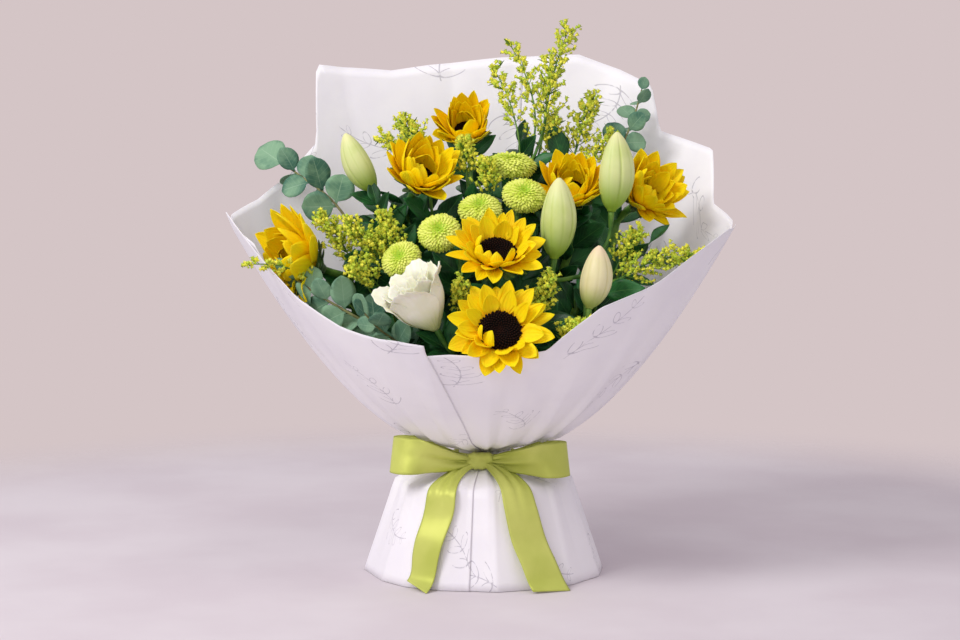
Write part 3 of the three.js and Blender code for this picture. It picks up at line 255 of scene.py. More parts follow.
def piece(name, patches, finishes, nodes=(), thickness=0.0):
    """Joins the patches, whose points are in millimetres, into one mesh that rides on the bunch."""
    starts = np.cumsum([0] + [len(p.points) for p in patches])
    rows = [((index + start).ravel(), uv.reshape(-1, 2), np.full(len(index), k), np.full(len(index), patch.finish))
            for patch, start in zip(patches, starts) for k, (index, uv) in patch.faces.items()]
    corners, uvs, totals, marks = (np.concatenate(part) for part in zip(*rows))
    mesh = bpy.data.meshes.new(name)
    mesh.vertices.add(starts[-1])
    mesh.vertices.foreach_set("co", (np.concatenate([p.points for p in patches]) * MM).ravel())
    mesh.loops.add(len(corners))
    mesh.loops.foreach_set("vertex_index", corners)
    mesh.polygons.add(len(totals))
    mesh.polygons.foreach_set("loop_start", np.cumsum(totals) - totals)
    mesh.polygons.foreach_set("material_index", marks)
    mesh.update(calc_edges=True)
    mesh.polygons.foreach_set("use_smooth", np.ones(len(totals), bool))
    mesh.uv_layers.new(name="UVMap").data.foreach_set("uv", uvs.ravel())
    tones = mesh.attributes.new("tone", "FLOAT", "POINT")
    tones.data.foreach_set("value", np.concatenate([p.tone for p in patches]))
    for finish in finishes:
        mesh.materials.append(finish)
    made = put(name, mesh)
    if thickness:
        skin = made.modifiers.new("thickness", "SOLIDIFY")
        skin.thickness = thickness * MM
        skin.offset = 0
    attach(made, "root")
    if nodes:
        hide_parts(*nodes)
    triangles = int((totals - 2).sum()) * (2 if thickness else 1)
    print(f"{name}: {triangles} triangles")
    return made


# %% [markdown]
# ## Finishes
#
# Plants look alive through small differences: a leaf has paler veins, and no two are the same green. The ray
# petals are a deeper orange towards their roots. Those effects are shared, so each is a node group: one drifts a
# colour, one draws veins from the piece's own UV map, and one draws sprigs on the paper. Each finish sets its own
# numbers. A socket wrapped as a wire can be added and multiplied as a number can, so that a pattern reads as its
# formula.

# %% Formulas made of nodes
class Wire:
    """A node's socket that stands in a formula: each sign of the formula becomes one Math node."""

    def __init__(self, socket):
        self.socket = socket

    def __add__(self, other):
        return maths("ADD", self, other)

    def __sub__(self, other):
        return maths("SUBTRACT", self, other)

    def __rsub__(self, other):
        return maths("SUBTRACT", other, self)

    def __mul__(self, other):
        return maths("MULTIPLY", self, other)

    def __truediv__(self, other):
        return maths("DIVIDE", self, other)

    def __abs__(self):
        return maths("ABSOLUTE", self)


def plug(socket, value):
    """Links a wire to an input, or sets the input's own value."""
    if isinstance(value, Wire):
        socket.id_data.links.new(value.socket, socket)
    else:
        socket.default_value = value


def node(tree, kind, inputs=(), **settings):
    """A shader node with its settings; the answer holds a wire for each output, by number and by name."""
    made = tree.nodes.new(kind)
    for key, value in settings.items():
        setattr(made, key, value)
    for key, value in dict(inputs).items():
        plug(made.inputs[key], value)
    return {key: Wire(socket) for number, socket in enumerate(made.outputs) for key in (number, socket.name)}


def maths(operation, *values, clamp=False):
    """One Math node on wires and numbers, in the tree of the first wire."""
    tree = next(value for value in values if isinstance(value, Wire)).socket.id_data
    return node(tree, "ShaderNodeMath", dict(enumerate(values)), operation=operation, use_clamp=clamp)[0]


def soft_step(wire, low, high):
    """A smooth step from 0 at `low` to 1 at `high`."""
    return node(wire.socket.id_data, "ShaderNodeMapRange", {"Value": wire, "From Min": low, "From Max": high},
                interpolation_type="SMOOTHSTEP")[0]


def blend(factor, a, b):
    """The colour that goes from `a` to `b` with the factor."""
    return node(factor.socket.id_data, "ShaderNodeMix", {0: factor, 6: a, 7: b}, data_type="RGBA")[2]


def noise(where, scale, detail, rough=0.5):
    """Cloudy noise, from 0 to 1."""
    inputs = {"Vector": where, "Scale": scale, "Detail": detail, "Roughness": rough}
    return node(where.socket.id_data, "ShaderNodeTexNoise", inputs)[0]


def in_bunch(tree):
    """The place of a point in the bunch, in metres."""
    return node(tree, "ShaderNodeTexCoord")["Object"]


def on_sheet(tree):
    """The piece's own UV map, then its two parts: across the piece and along it."""
    uv = node(tree, "ShaderNodeUVMap", uv_map="UVMap")[0]
    parts = node(tree, "ShaderNodeSeparateXYZ", {0: uv})
    return uv, parts["X"], parts["Y"]


def group(name, inputs, outputs):
    """An empty node group, the wires of its inputs, and its outputs; each name has a value that shows its kind."""
    tree = bpy.data.node_groups.new(name, "ShaderNodeTree")
    for way, sockets in (("INPUT", inputs), ("OUTPUT", outputs)):
        for socket, value in sockets.items():
            kind = "NodeSocketColor" if isinstance(value, tuple) else "NodeSocketFloat"
            tree.interface.new_socket(socket, in_out=way, socket_type=kind).default_value = value
    given = {socket.name: Wire(socket) for socket in tree.nodes.new("NodeGroupInput").outputs}
    return tree, given, tree.nodes.new("NodeGroupOutput").inputs


def use(tree, shared, inputs):
    """A node group placed in a material, with this material's values."""
    return node(tree, "ShaderNodeGroup", inputs, node_tree=shared)


def new_finish(name):
    """A material, its tree, and the inputs of its shader."""
    made = bpy.data.materials.new(name)
    made.use_nodes = True
    return made, made.node_tree, made.node_tree.nodes["Principled BSDF"].inputs


def set_relief(shader, height, strength, distance):
    """Bump from a wire of heights; `distance` is in metres."""
    inputs = {"Height": height, "Strength": strength, "Distance": distance}
    plug(shader["Normal"], node(height.socket.id_data, "ShaderNodeBump", inputs)[0])


def rgb(red, green, blue):
    """A colour given in screen values from 0 to 255, as the linear colour that a shader wants."""
    shares = [c / 255 for c in (red, green, blue)]
    return tuple(s / 12.92 if s <= 0.04045 else ((s + 0.055) / 1.055) ** 2.4 for s in shares) + (1.0,)


# %% Group: a colour that drifts
WHITE, BLACK = (1, 1, 1, 1), (0, 0, 0, 1)
drift, given, result = group("colour_drift", {"Light": WHITE, "Dark": BLACK, "Scale": 60.0, "Tone Reach": 0.5},
                             {"Color": BLACK, "Noise": 0.0})
cloud = noise(in_bunch(drift), given["Scale"], 4.0)
tone = node(drift, "ShaderNodeAttribute", attribute_name="tone")["Fac"]
share = maths("ADD", soft_step(cloud, 0.32, 0.68), (tone - 0.5) * given["Tone Reach"], clamp=True)
plug(result["Color"], blend(share, given["Dark"], given["Light"]))
plug(result["Noise"], cloud)

# %% Group: veins on a leaf or petal
FULL_TURN = 6.2832
veins, given, result = group("leaf_veins", {"Side Veins": 9.0, "Slant": 5.0, "Midrib": 0.03, "Ridges": 0.0},
                             {"Midrib": 0.0, "Side Veins": 0.0, "Ridges": 0.0, "Along": 0.0})
_, x, y = on_sheet(veins)
off_middle = abs(x - 0.5)
wave = y * given["Side Veins"] - off_middle * given["Slant"]
ridge = maths("SINE", x * (given["Ridges"] * FULL_TURN))
plug(result["Midrib"], maths("SUBTRACT", 1.0, off_middle / given["Midrib"], clamp=True))
plug(result["Side Veins"], soft_step(maths("PINGPONG", wave, 0.5), 0.07, 0.0))
plug(result["Ridges"], maths("MULTIPLY_ADD", ridge, 0.5, 0.5))
plug(result["Along"], y)

# %% A finish for anything that grows
GRAIN, FLESH = 900.0, (0.004, 0.003, 0.001)


def plant_finish(name, light, dark, root=None, root_reach=0.3, tip=None, vein=None, side_veins=0.0, slant=5.0,
                 midrib=0.03, ridges=0.0, scale=60.0, tone_reach=0.6, roughness=0.55, bump=0.3, sheen=0.0,
                 subsurface=0.0, gloss=0.35):
    """Drifting colour, another colour at the root and tip, veins, and their relief as bump."""
    made, tree, shader = new_finish(name)
    colour = use(tree, drift, {"Light": light, "Dark": dark, "Scale": scale, "Tone Reach": tone_reach})
    lines = use(tree, veins, {"Side Veins": side_veins, "Slant": slant, "Midrib": midrib, "Ridges": ridges})
    shade = colour["Color"]
    if root is not None:
        shade = blend(soft_step(lines["Along"], root_reach, 0.0), shade, root)
    if tip is not None:
        shade = blend(soft_step(lines["Along"], 0.72, 1.0), shade, tip)
    relief = lines["Ridges"] * (0.6 if ridges else 0.0)
    if vein is not None:
        drawn = maths("MAXIMUM", lines["Midrib"], lines["Side Veins"] * 0.45)
        shade = blend(drawn * 0.75, shade, vein)
        relief = relief - drawn * 0.8
    if ridges:
        shade = blend(lines["Ridges"] * 0.22, shade, dark)
    plug(shader["Base Color"], shade)
    set_relief(shader, relief + noise(in_bunch(tree), GRAIN, 2.0) * 0.25, bump, 0.0006)
    plug(shader["Roughness"], maths("MULTIPLY_ADD", colour["Noise"], 0.2, roughness - 0.1))
    plug(shader["Sheen Weight"], sheen)
    plug(shader["Specular IOR Level"], gloss)
    plug(shader["Subsurface Weight"], subsurface)
    plug(shader["Subsurface Radius"], FLESH)
    return made


RAY_PETAL = plant_finish("ray_petal", rgb(255, 232, 4), rgb(255, 214, 0), root=rgb(253, 182, 0), root_reach=0.34,
                         tip=rgb(255, 230, 14), ridges=5, scale=45, roughness=0.62, bump=0.5, subsurface=0.3, gloss=0.2)
DISC_FLORET = plant_finish("disc_floret", rgb(28, 10, 6), rgb(8, 4, 2), tip=rgb(44, 17, 7), scale=300,
                           roughness=0.85, bump=0.4, gloss=0.15)
SEPAL = plant_finish("green_sepal", rgb(110, 150, 60), rgb(52, 100, 38), root=rgb(60, 110, 40), vein=rgb(150, 180, 90),
                     side_veins=6, midrib=0.05, scale=120, roughness=0.6, bump=0.5, sheen=0.2)
STEM = plant_finish("green_stem", rgb(120, 160, 62), rgb(62, 110, 40), ridges=5, scale=90, roughness=0.5, bump=0.4)
LILY_BUD = plant_finish("lily_bud", rgb(222, 230, 158), rgb(190, 208, 110), root=rgb(150, 184, 58), root_reach=0.55,
                        tip=rgb(232, 232, 168), scale=18, tone_reach=1.2, roughness=0.45, bump=0.25, subsurface=0.06)
BLUSH_BUD = plant_finish("blush_bud", rgb(240, 230, 184), rgb(222, 212, 150), root=rgb(176, 192, 92), root_reach=0.4,
                         tip=rgb(242, 218, 182), scale=18, tone_reach=1.2, roughness=0.45, bump=0.25, subsurface=0.06)
LIME_QUILL = plant_finish("lime_quill", rgb(240, 246, 122), rgb(206, 224, 72), root=rgb(158, 194, 48), scale=110,
                          tone_reach=1.0, roughness=0.65, bump=0.3, subsurface=0.05, gloss=0.2)
CREAM_PETAL = plant_finish("cream_petal", rgb(252, 251, 236), rgb(240, 240, 212), root=rgb(204, 218, 132),
                           root_reach=0.6, ridges=9, scale=60, roughness=0.5, bump=0.3, subsurface=0.15)
GOLDEN_BUD = plant_finish("golden_bud", rgb(250, 244, 84), rgb(190, 214, 68), scale=160, tone_reach=1.4,
                          roughness=0.7, bump=0.3, gloss=0.2)
EUCALYPTUS_LEAF = plant_finish("eucalyptus_leaf", rgb(134, 172, 138), rgb(76, 120, 100), vein=rgb(164, 196, 164),
                               side_veins=7, slant=3, midrib=0.02, scale=55, tone_reach=0.9, roughness=0.65, bump=0.35,
                               gloss=0.2)
DARK_LEAF = plant_finish("dark_leaf", rgb(44, 112, 54), rgb(14, 62, 30), vein=rgb(86, 144, 72), side_veins=9,
                         slant=6, midrib=0.025, scale=70, tone_reach=1.1, roughness=0.42, bump=0.5)
WOODY = plant_finish("young_wood", rgb(150, 150, 96), rgb(108, 100, 62), scale=140, roughness=0.6, bump=0.4)
print("plant finishes:", len(bpy.data.materials))

# %% [markdown]
# ## The paper wrap
#
# Four sheets of stiff florist's paper lap round the bunch. They are gathered under the ribbon, stand out below
# it as a skirt that the bunch rests on, and open above it into a tall collar. A sheet is a function of the
# azimuth and of the share of its height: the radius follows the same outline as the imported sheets, and
# sharp pleats that start at the tie die away upwards, as they do in paper, which folds but doesn't stretch.

# %% The outline of the wrap
TIE_LOW, TIE_HIGH = 101.5, 113.5
NECK_RADIUS, HEM_RADIUS = 22.0, 109.0
SHOULDER_HEIGHT, SHOULDER_RADIUS, SHOULDER_POWER = 84.0, 81.0, 1.25
FLARE_SPAN, FLARE_POWER, FLARE_SIDE, FLARE_FRONT, FLARE_BACK = 208.0, 0.55, 205.0, 6.0, 98.0
COLLAR = 131.0
LAYER_PITCH = 1.2


def wrap_radius(azimuth, height):
    """Straight skirt, rounded shoulder, straight neck, then a flare that grows as a power of the height."""
    back = np.sin(np.radians(azimuth))
    flare = FLARE_SIDE - np.where(back > 0, FLARE_BACK, FLARE_FRONT) * back
    skirt = HEM_RADIUS + (SHOULDER_RADIUS - HEM_RADIUS) * height / SHOULDER_HEIGHT
    fall = np.clip((height - SHOULDER_HEIGHT) / (TIE_LOW - SHOULDER_HEIGHT), 0, 1)
    shoulder = SHOULDER_RADIUS + (NECK_RADIUS - SHOULDER_RADIUS) * fall ** SHOULDER_POWER
    opening = NECK_RADIUS + flare * (np.maximum(height - TIE_HIGH, 1e-6) / FLARE_SPAN) ** FLARE_POWER
    rise = (COLLAR - TIE_HIGH) / FLARE_SPAN
    at_collar = NECK_RADIUS + flare * rise ** FLARE_POWER
    slope = flare * FLARE_POWER / FLARE_SPAN * rise ** (FLARE_POWER - 1)
    t = np.clip((height - TIE_HIGH) / (COLLAR - TIE_HIGH), 0, 1)
    throat = NECK_RADIUS + (at_collar - NECK_RADIUS) * t * t * (3 - 2 * t)
    throat = throat + slope * (COLLAR - TIE_HIGH) * t * t * (t - 1)
    return np.select([height <= SHOULDER_HEIGHT, height < TIE_LOW, height < COLLAR],
                     [skirt, shoulder, throat], opening)


# %% Pleats and creases
PLEATS = 44
folds = np.random.default_rng(11)
pleat_at = np.sort((np.arange(PLEATS) + folds.uniform(-0.35, 0.35, PLEATS)) * 360 / PLEATS)
pleat_depth = folds.uniform(0.5, 1.0, PLEATS) * np.where(np.arange(PLEATS) % 2, 1, -1)
crease_at = np.array([4, 31, 52, 80, 101, 133, 160, 186, 214, 231, 249, 276, 297, 315, 338], float)
crease_depth = folds.uniform(0.0, 1.0, len(crease_at))


def flat_panel(azimuth):
    """Between two creases the paper is flat: the chord's radius over the arc's, less one."""
    ends = np.concatenate([[crease_at[-1] - 360], crease_at, [crease_at[0] + 360]])
    azimuth = azimuth % 360
    k = np.clip(np.searchsorted(ends, azimuth, side="right") - 1, 0, len(ends) - 2)
    middle, half = (ends[k] + ends[k + 1]) / 2, (ends[k + 1] - ends[k]) / 2
    return np.cos(np.radians(half)) / np.cos(np.radians(azimuth - middle)) - 1


def wrap_fold(azimuth, height):
    """How far the paper stands off its outline: sharp pleats near the tie, long creases and flat panels."""
    pleat = np.interp(azimuth, pleat_at, pleat_depth, period=360)
    crease = np.interp(azimuth, crease_at, crease_depth, period=360)
    sharp = np.interp(height, [0, 60, 84, 96, 101, 114, 122, 131, 150, 185, 240, 320],
                      [0.1, 0.7, 1.5, 1.8, 0.4, 0.4, 1.6, 2.4, 2.5, 1.7, 0.8, 0.0])
    broad = np.interp(height, [0, 80, 100, 131, 200, 330, 500], [3.0, 1.8, 0.0, 0.0, 2.0, 5.0, 6.0])
    panel = np.interp(height, [0, 70, 96, 101.5, 131, 190, 330], [1.0, 1.0, 0.3, 0.0, 0.0, 0.35, 0.5])
    return sharp * pleat + broad * crease + panel * wrap_radius(azimuth, height) * flat_panel(azimuth)


# %% The four sheets
PAPER_SHEETS = {
    "paper_sheet_back_left": dict(
        layer=0, edges=[[0, 77, 204], [500, 77, 204]], shift=(0.625, 85, 77),
        rim=[[77, 481], [84, 480], [96, 476], [108, 472], [120, 466], [140, 472], [145, 396], [156, 364],
             [168, 344], [180, 332], [204, 310]]),
    "paper_sheet_back_right": dict(
        layer=1, edges=[[0, -12, 108], [500, -12, 108]],
        rim=[[-12, 318], [0, 326], [10, 340], [17, 390], [34, 408], [39, 452], [48, 467], [60, 482], [84, 480],
             [96, 475], [108, 470]]),
    "paper_sheet_front_right": dict(
        layer=2, edges=[[0, -108, 0], [500, -108, 0]],
        rim=[[-108, 219], [-84, 220], [-72, 224], [-60, 262], [-48, 276], [-36, 302], [-24, 326], [-12, 326],
             [0, 300]]),
    "paper_sheet_front_left": dict(
        layer=3, edges=[[0, 180, 263], [114, 180, 263], [222, 180, 253]], shift=(-2, 240, 210),
        rim=[[180, 300], [192, 338], [204, 300], [216, 264], [228, 244], [240, 234], [252, 230], [264, 222]]),
}
PAPER_LIFT, PAPER_COLUMNS = 0.4, 101
PAPER_ROWS = np.concatenate([np.linspace(0, SHOULDER_HEIGHT, 12, endpoint=False),
                             np.linspace(SHOULDER_HEIGHT, COLLAR, 22)])
PAPER_RISE = np.linspace(0, 1, 34)[1:] ** 0.9


def paper_points(sheet):
    """Rows up the sheet by columns round it; above the collar the rows share out the height up to the rim.

    The sheet lies off the outline by its layers and folds; `shift` is (layers, from azimuth, to azimuth) at a lap.
    """
    edges = np.array(sheet["edges"], float)
    share = np.linspace(0, 1, PAPER_COLUMNS)
    rim_azimuth = edges[-1, 1] + (edges[-1, 2] - edges[-1, 1]) * share
    rim = np.interp(rim_azimuth, *np.array(sheet["rim"], float).T)
    height = np.concatenate([np.tile(PAPER_ROWS[:, None], (1, len(share))),
                             COLLAR + (rim - COLLAR) * PAPER_RISE[:, None]])
    left, right = (np.interp(height, edges[:, 0], edges[:, k]) for k in (1, 2))
    azimuth = left + (right - left) * share
    radius = wrap_radius(azimuth, height)
    step = 0.5
    steep = (wrap_radius(azimuth, height + step) - wrap_radius(azimuth, height - step)) / (2 * step)
    out = unit(np.stack([np.ones_like(height), -steep], -1))
    level = ease(height, 12, 1)[..., None]
    out = unit(out * (1 - level) + np.array([1.0, 0.0]) * level)
    layers, start, end = sheet.get("shift", (0, 0, 1))
    layer = sheet["layer"] + layers * ease(azimuth, start, end)
    lift = layer * LAYER_PITCH + PAPER_LIFT + wrap_fold(azimuth, height)
    return around(radius + lift * out[..., 0], np.radians(azimuth), height + lift * out[..., 1])


# %% [markdown]
# ## Paper with a drawn sprig
#
# The paper is printed with small grey line drawings. Here the drawing is a plain generic sprig: a stem with pairs
# of leaf outlines, made from distances in the sheet's own flat coordinates, in staggered cells that each
# turn it another way. The sheet's UV map is in tenths of a metre, so the sprigs keep their real size.

# %% Group: sprigs drawn in staggered cells
# All sizes are shares of a cell, apart from the lean, which is in radians.
PAIR_HEIGHT, LEAF_LEAN, LEAF_LENGTH, LEAF_WIDTH = 0.15, 0.62, 0.115, 0.04
sprigs, given, result = group("drawn_sprigs", {"Cell": 0.8, "Line": 0.012}, {"Ink": 0.0})
uv, x, y = on_sheet(sprigs)
row = y / given["Cell"]
row_number = maths("FLOOR", row)
column = x / given["Cell"] + row_number * 0.5
cell = node(sprigs, "ShaderNodeCombineXYZ", {0: maths("FLOOR", column), 1: row_number})[0]
chance = node(sprigs, "ShaderNodeTexWhiteNoise", {"Vector": cell}, noise_dimensions="2D")["Value"]
local = node(sprigs, "ShaderNodeCombineXYZ", {0: maths("FRACT", column) - 0.5, 1: maths("FRACT", row) - 0.5})[0]
turned = node(sprigs, "ShaderNodeVectorRotate", {"Vector": local, "Angle": chance * FULL_TURN},
              rotation_type="Z_AXIS")[0]
flat = node(sprigs, "ShaderNodeSeparateXYZ", {0: turned})
# The stalk is a bowed line: `across` is the distance from it, and `up` the way along it.
bow = flat["Y"] * flat["Y"] * 0.9
across = abs(flat["X"] + bow)
up = flat["Y"] + 0.3
inside = maths("GREATER_THAN", up, 0.0) * maths("LESS_THAN", up, 0.6)
stalk = soft_step(across, given["Line"], 0.0)
# The leaves are pairs of ovals that lean off the stalk, smaller towards its tip.
taper = 1.15 - up * 1.4
pair = maths("FLOORED_MODULO", up, PAIR_HEIGHT) - PAIR_HEIGHT * 0.35
leaf_x = across * math.cos(LEAF_LEAN) + pair * math.sin(LEAF_LEAN)
leaf_y = pair * math.cos(LEAF_LEAN) - across * math.sin(LEAF_LEAN)
leaf_long = taper * LEAF_LENGTH
leaf_u = (leaf_x - leaf_long) / leaf_long
leaf_v = leaf_y / (taper * LEAF_WIDTH)
oval = maths("SQRT", leaf_u * leaf_u + leaf_v * leaf_v)
outline = soft_step(abs(oval - 1.0), 0.16, 0.0)
ink = maths("MAXIMUM", stalk, outline) * inside
plug(result["Ink"], ink * soft_step(noise(uv, 22.0, 2.0), 0.3, 0.5))

# %% Finish: printed paper
paper, tree, shader = new_finish("printed_paper")
ground = use(tree, drift, {"Light": rgb(252, 249, 252), "Dark": rgb(244, 241, 246), "Scale": 14.0, "Tone Reach": 0.2})
ink = use(tree, sprigs, {"Cell": 0.9, "Line": 0.008})["Ink"]
plug(shader["Base Color"], blend(ink * 0.55, ground["Color"], rgb(128, 122, 140)))
where = in_bunch(tree)
tooth = noise(where, 1500.0, 1.0)
set_relief(shader, noise(where, 26.0, 3.0, rough=0.45) + tooth * 0.03, 0.22, 0.004)
plug(shader["Roughness"], maths("MULTIPLY_ADD", tooth, 0.15, 0.42))
plug(shader["Subsurface Weight"], 0.12)
plug(shader["Subsurface Radius"], (0.006, 0.006, 0.007))

# %% Fold the sheets
# The real lengths along one row and one column give the uv, moved on by a step a layer so that no two sheets match.
UV_UNIT, MIDDLE_ROW, MIDDLE_COLUMN = 100.0, 40, 50
for name, sheet in PAPER_SHEETS.items():
    points = paper_points(sheet)
    patch = sheets(points[None])
    quads, uv = patch.faces[4]
    flat_uv = [np.interp(uv[..., k], np.linspace(0, 1, len(line)), run_of(line)) / UV_UNIT + step * sheet["layer"]
               for k, (line, step) in enumerate(((points[MIDDLE_ROW], 1.7), (points[:, MIDDLE_COLUMN], 0.6)))]
    patch.faces[4] = (quads, np.stack(flat_uv, -1))
    piece(f"fine_{name}", [patch], [paper], [name], THICK["paper"])

# %% [markdown]
# ## The satin ribbon
#
# One wide ribbon holds the bunch: a band round the neck, a knot, two loops and two tails that lie over the
# skirt. Satin is stiff enough to hold a loop open and soft enough to crush into small pleats at the knot, so
# each part is a strip along a line whose middle is pleated near the knot and flat at its far end.

# %% Finish: satin
THREADS, PICKS = 420.0, 900.0
satin, tree, shader = new_finish("satin_ribbon")
# The colour drifts between a lighter and a darker olive in soft patches: partly the satin's own uneven tone, partly
# painted sheen that stands in for its broad light and dark bands.
ground = use(tree, drift, {"Light": rgb(208, 213, 116), "Dark": rgb(186, 195, 92), "Scale": 16.0, "Tone Reach": 0.3})
_, x, y = on_sheet(tree)
selvage = soft_step(abs(x - 0.5), 0.455, 0.48)
plug(shader["Base Color"], blend(selvage * 0.2, ground["Color"], rgb(128, 150, 46)))
weave = maths("SINE", x * THREADS) * 0.4 + (maths("SINE", y * PICKS) * 0.25 + selvage)
set_relief(shader, weave, 0.12, 0.0003)
plug(shader["Roughness"], maths("MULTIPLY_ADD", ground["Noise"], 0.1, 0.3))
plug(shader["Specular IOR Level"], 1.0)
plug(shader["Specular Tint"], rgb(244, 246, 130))
plug(shader["Anisotropic"], 0.5)

# %% A pleated strip
KNOT = np.array([-4.0, -44.0, 107.5])
KNOT_SIZE = np.array([13.6, 7.2, 7.8])
STRIP_COLUMNS, LOOP_REACH = 15, 80.5


def strip(middle, across, width, crush, pleats=2.5):
    """A ribbon along a line: points across each station, with pleats as deep as `crush` along its face."""
    run = unit(np.gradient(middle, axis=0))
    face = unit(np.cross(across, run))
    c = np.linspace(-0.5, 0.5, STRIP_COLUMNS)
    fold = crush[:, None] * np.cos(2 * np.pi * pleats * c + 0.6 * np.sin(9 * c))
    return middle[:, None] + (width[:, None] * c)[..., None] * across[:, None] + fold[..., None] * face[:, None]


def bow_loop(hand, rise, width):
    """Out along the back run and home along the front run, narrow at the knot and full width at the end."""
    angle = np.linspace(np.pi, -np.pi, 73)
    start = KNOT_SIZE[0] - 1.5
    out = start + (LOOP_REACH - start) * (1 + np.cos(angle)) / 2
    opening = (out - start) / (LOOP_REACH - start)
    swell = (1.2 + 10 * np.sqrt(opening)) * np.sin(angle)
    middle = np.stack([KNOT[0] + hand * out, KNOT[1] - 3 + swell - 13 * np.sin(0.85 * np.pi * opening),
                       KNOT[2] + rise * ease(opening, 0, 0.7)], -1)
    tilt = np.radians(-6 * hand)
    across = np.tile([math.sin(tilt), 0, math.cos(tilt)], (len(middle), 1))
    pitch = np.radians(22) * (ease(opening, 0.5, 0.8) - 0.8 * np.sin(np.pi * np.clip(opening / 0.7, 0, 1)))
    across = unit(across + np.outer(np.sin(pitch), [0.0, 1.0, 0.0]))
    width = 10 + width * np.sin(0.5 * np.pi * opening) ** 0.85 - 2.5 * opening ** 8
    return strip(middle, across, width, 3.8 * (1 - opening) ** 2, pleats=1.7)


# %% The tails
# Each row of a route is a radius, an azimuth, a height and the ribbon's width there.
LEFT_ROUTE = [[47, -97, 105.5, 9], [53, -109, 103, 13], [63, -114.5, 99, 18], [77, -116, 93, 23.5],
              [89.5, -115.5, 86.5, 28], [95.5, -115.5, 74, 29.5], [102.5, -117, 53, 29], [112.5, -119, 27, 28],
              [122, -119.5, 7, 27], [130, -119.5, 2, 27]]
RIGHT_ROUTE = [[47, -89, 105.5, 9], [53, -80, 103, 15], [63, -74, 99, 22], [77, -71.5, 93, 26], [89.5, -71, 86.5, 29],
               [95.5, -70.5, 74, 31], [102.5, -68.5, 55, 33], [112, -65, 29, 35], [122, -62.5, 7, 36],
               [131, -62, 2, 36]]


def bow_tail(slant, route):
    """From under the knot over the shoulder of the skirt; the last rows slide to give the slanted cut."""
    radius, azimuth, height, width = np.array(route, float).T
    middle = heading(azimuth, 90) * radius[:, None]
    middle[:, 2] = height
    line = smooth_path(np.column_stack([middle, width]), 61)
    middle, width = line[:, :3], line[:, 3]
    for _ in range(6):
        middle[1:-1] = (middle[:-2] + 2 * middle[1:-1] + middle[2:]) / 4
    across = unit(np.stack([-middle[:, 1], middle[:, 0], 0 * width], -1))
    t = np.linspace(0, 1, len(width))
    run = unit(np.gradient(middle, axis=0))
    wave = 1.9 * (1 + np.sin(15 * t + slant)) * ease(t, 0.3, 0.55)
    middle = middle - wave[:, None] * np.cross(run, across)
    points = strip(middle, across, width, 1.9 * (1 - ease(t, 0.0, 0.6)))
    c = np.linspace(0, 1, points.shape[1])
    cut = ease(t, 0.55, 1.0)[:, None] * abs(slant) * (1 - c if slant > 0 else c)
    return points - cut[..., None] * run[:, None]


# %% Tie the bow
# Each strip with its flat width in millimetres and how it is held.
STRIPS = {
    "ribbon_loop_left": (bow_loop(-1, 7.5, 26), 34, "gathered"),
    "ribbon_loop_right": (bow_loop(1, 3.5, 24), 34, "gathered"),
    "ribbon_tail_left": (bow_tail(13, LEFT_ROUTE), 29, "draped"),
    "ribbon_tail_right": (bow_tail(4, RIGHT_ROUTE), 36, "draped"),
}
for name, (points, full, held) in STRIPS.items():
    length = run_of(points[:, STRIP_COLUMNS // 2])[-1]
    made = piece(f"fine_{name}", [sheets(points[None])], [satin], [name], THICK["ribbon"])
    full * MM
    length * MM
    print("flat length of", name, round(length), "mm")

# %% The band and the knot
BAND_ROWS, BAND_COLUMNS, BAND_RADIUS, BAND_RISE = 14, 96, 28.3, 3.6


def squash(x, power=0.6):
    """A sine or cosine raised to a power with its sign kept, which makes a circle a little square."""
    return np.sign(x) * np.abs(x) ** power


turn, section = full_circle(BAND_COLUMNS), full_circle(BAND_ROWS)[:, None]
crimp = 0.35 * np.sin(23 * turn) + 0.25 * np.sin(37 * turn + 1)
band_radius = BAND_RADIUS + crimp * np.cos(section) * 0.6 + 1.0 * np.cos(section)
band = around(band_radius, turn, KNOT[2] + BAND_RISE * np.sin(section))
quads, uv = grid_faces(BAND_ROWS, BAND_COLUMNS, closed=True)
last, last_uv = grid_faces(2, BAND_COLUMNS, closed=True)
last = (last + (BAND_ROWS - 1) * BAND_COLUMNS) % (BAND_ROWS * BAND_COLUMNS)
band_patch = Patch(band, {4: (np.concatenate([quads, last]), np.concatenate([uv, last_uv]))})

# The knot is a ball with squared sides, a diagonal crease where the ribbon crosses itself, and fine pleats.
polar = np.linspace(0.04, np.pi - 0.04, 34)[:, None]
spin = full_circle(40)[None]
puff_x = squash(np.cos(polar)) + 0 * spin
puff_y = squash(np.sin(polar)) * squash(np.cos(spin))
puff_z = squash(np.sin(polar)) * squash(np.sin(spin))
diagonal = 0.9 * puff_z + 0.55 * puff_x
crease = 1 - 0.28 * np.exp(-(diagonal / 0.17) ** 2) - 0.05 * np.sin(13 * puff_x + 4 * puff_z) * np.sin(polar)
knot = np.stack([puff_x, puff_y * crease, puff_z * crease], -1) * KNOT_SIZE + KNOT
neck_back = tube(KNOT * [1, 0, 1] - np.outer([26.0, 32, 40], [0, 1, 0]), [5.5, 5, 5.4], 12)
piece("fine_ribbon_band_and_knot", [band_patch, ring_surface(knot), neck_back], [satin],
      ["ribbon_band_and_knot"])

# %% [markdown]
# ## The stems
#
# The stems are tied in a spiral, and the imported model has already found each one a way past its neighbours. So
# nothing is guessed here: a stem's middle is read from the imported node, level by level, and a round tube with a
# slightly thicker foot follows it up to its bloom.

# %% Follow a packed stem
# The first level and the steps between levels, how near a cut lies to the foreseen place, the lift of the foot.
STEM_LOW, STEM_STEP, STEM_NEAR, FOOT_RISE = 1.0, 4.0, 7.5, 0.6
stem_paths = []


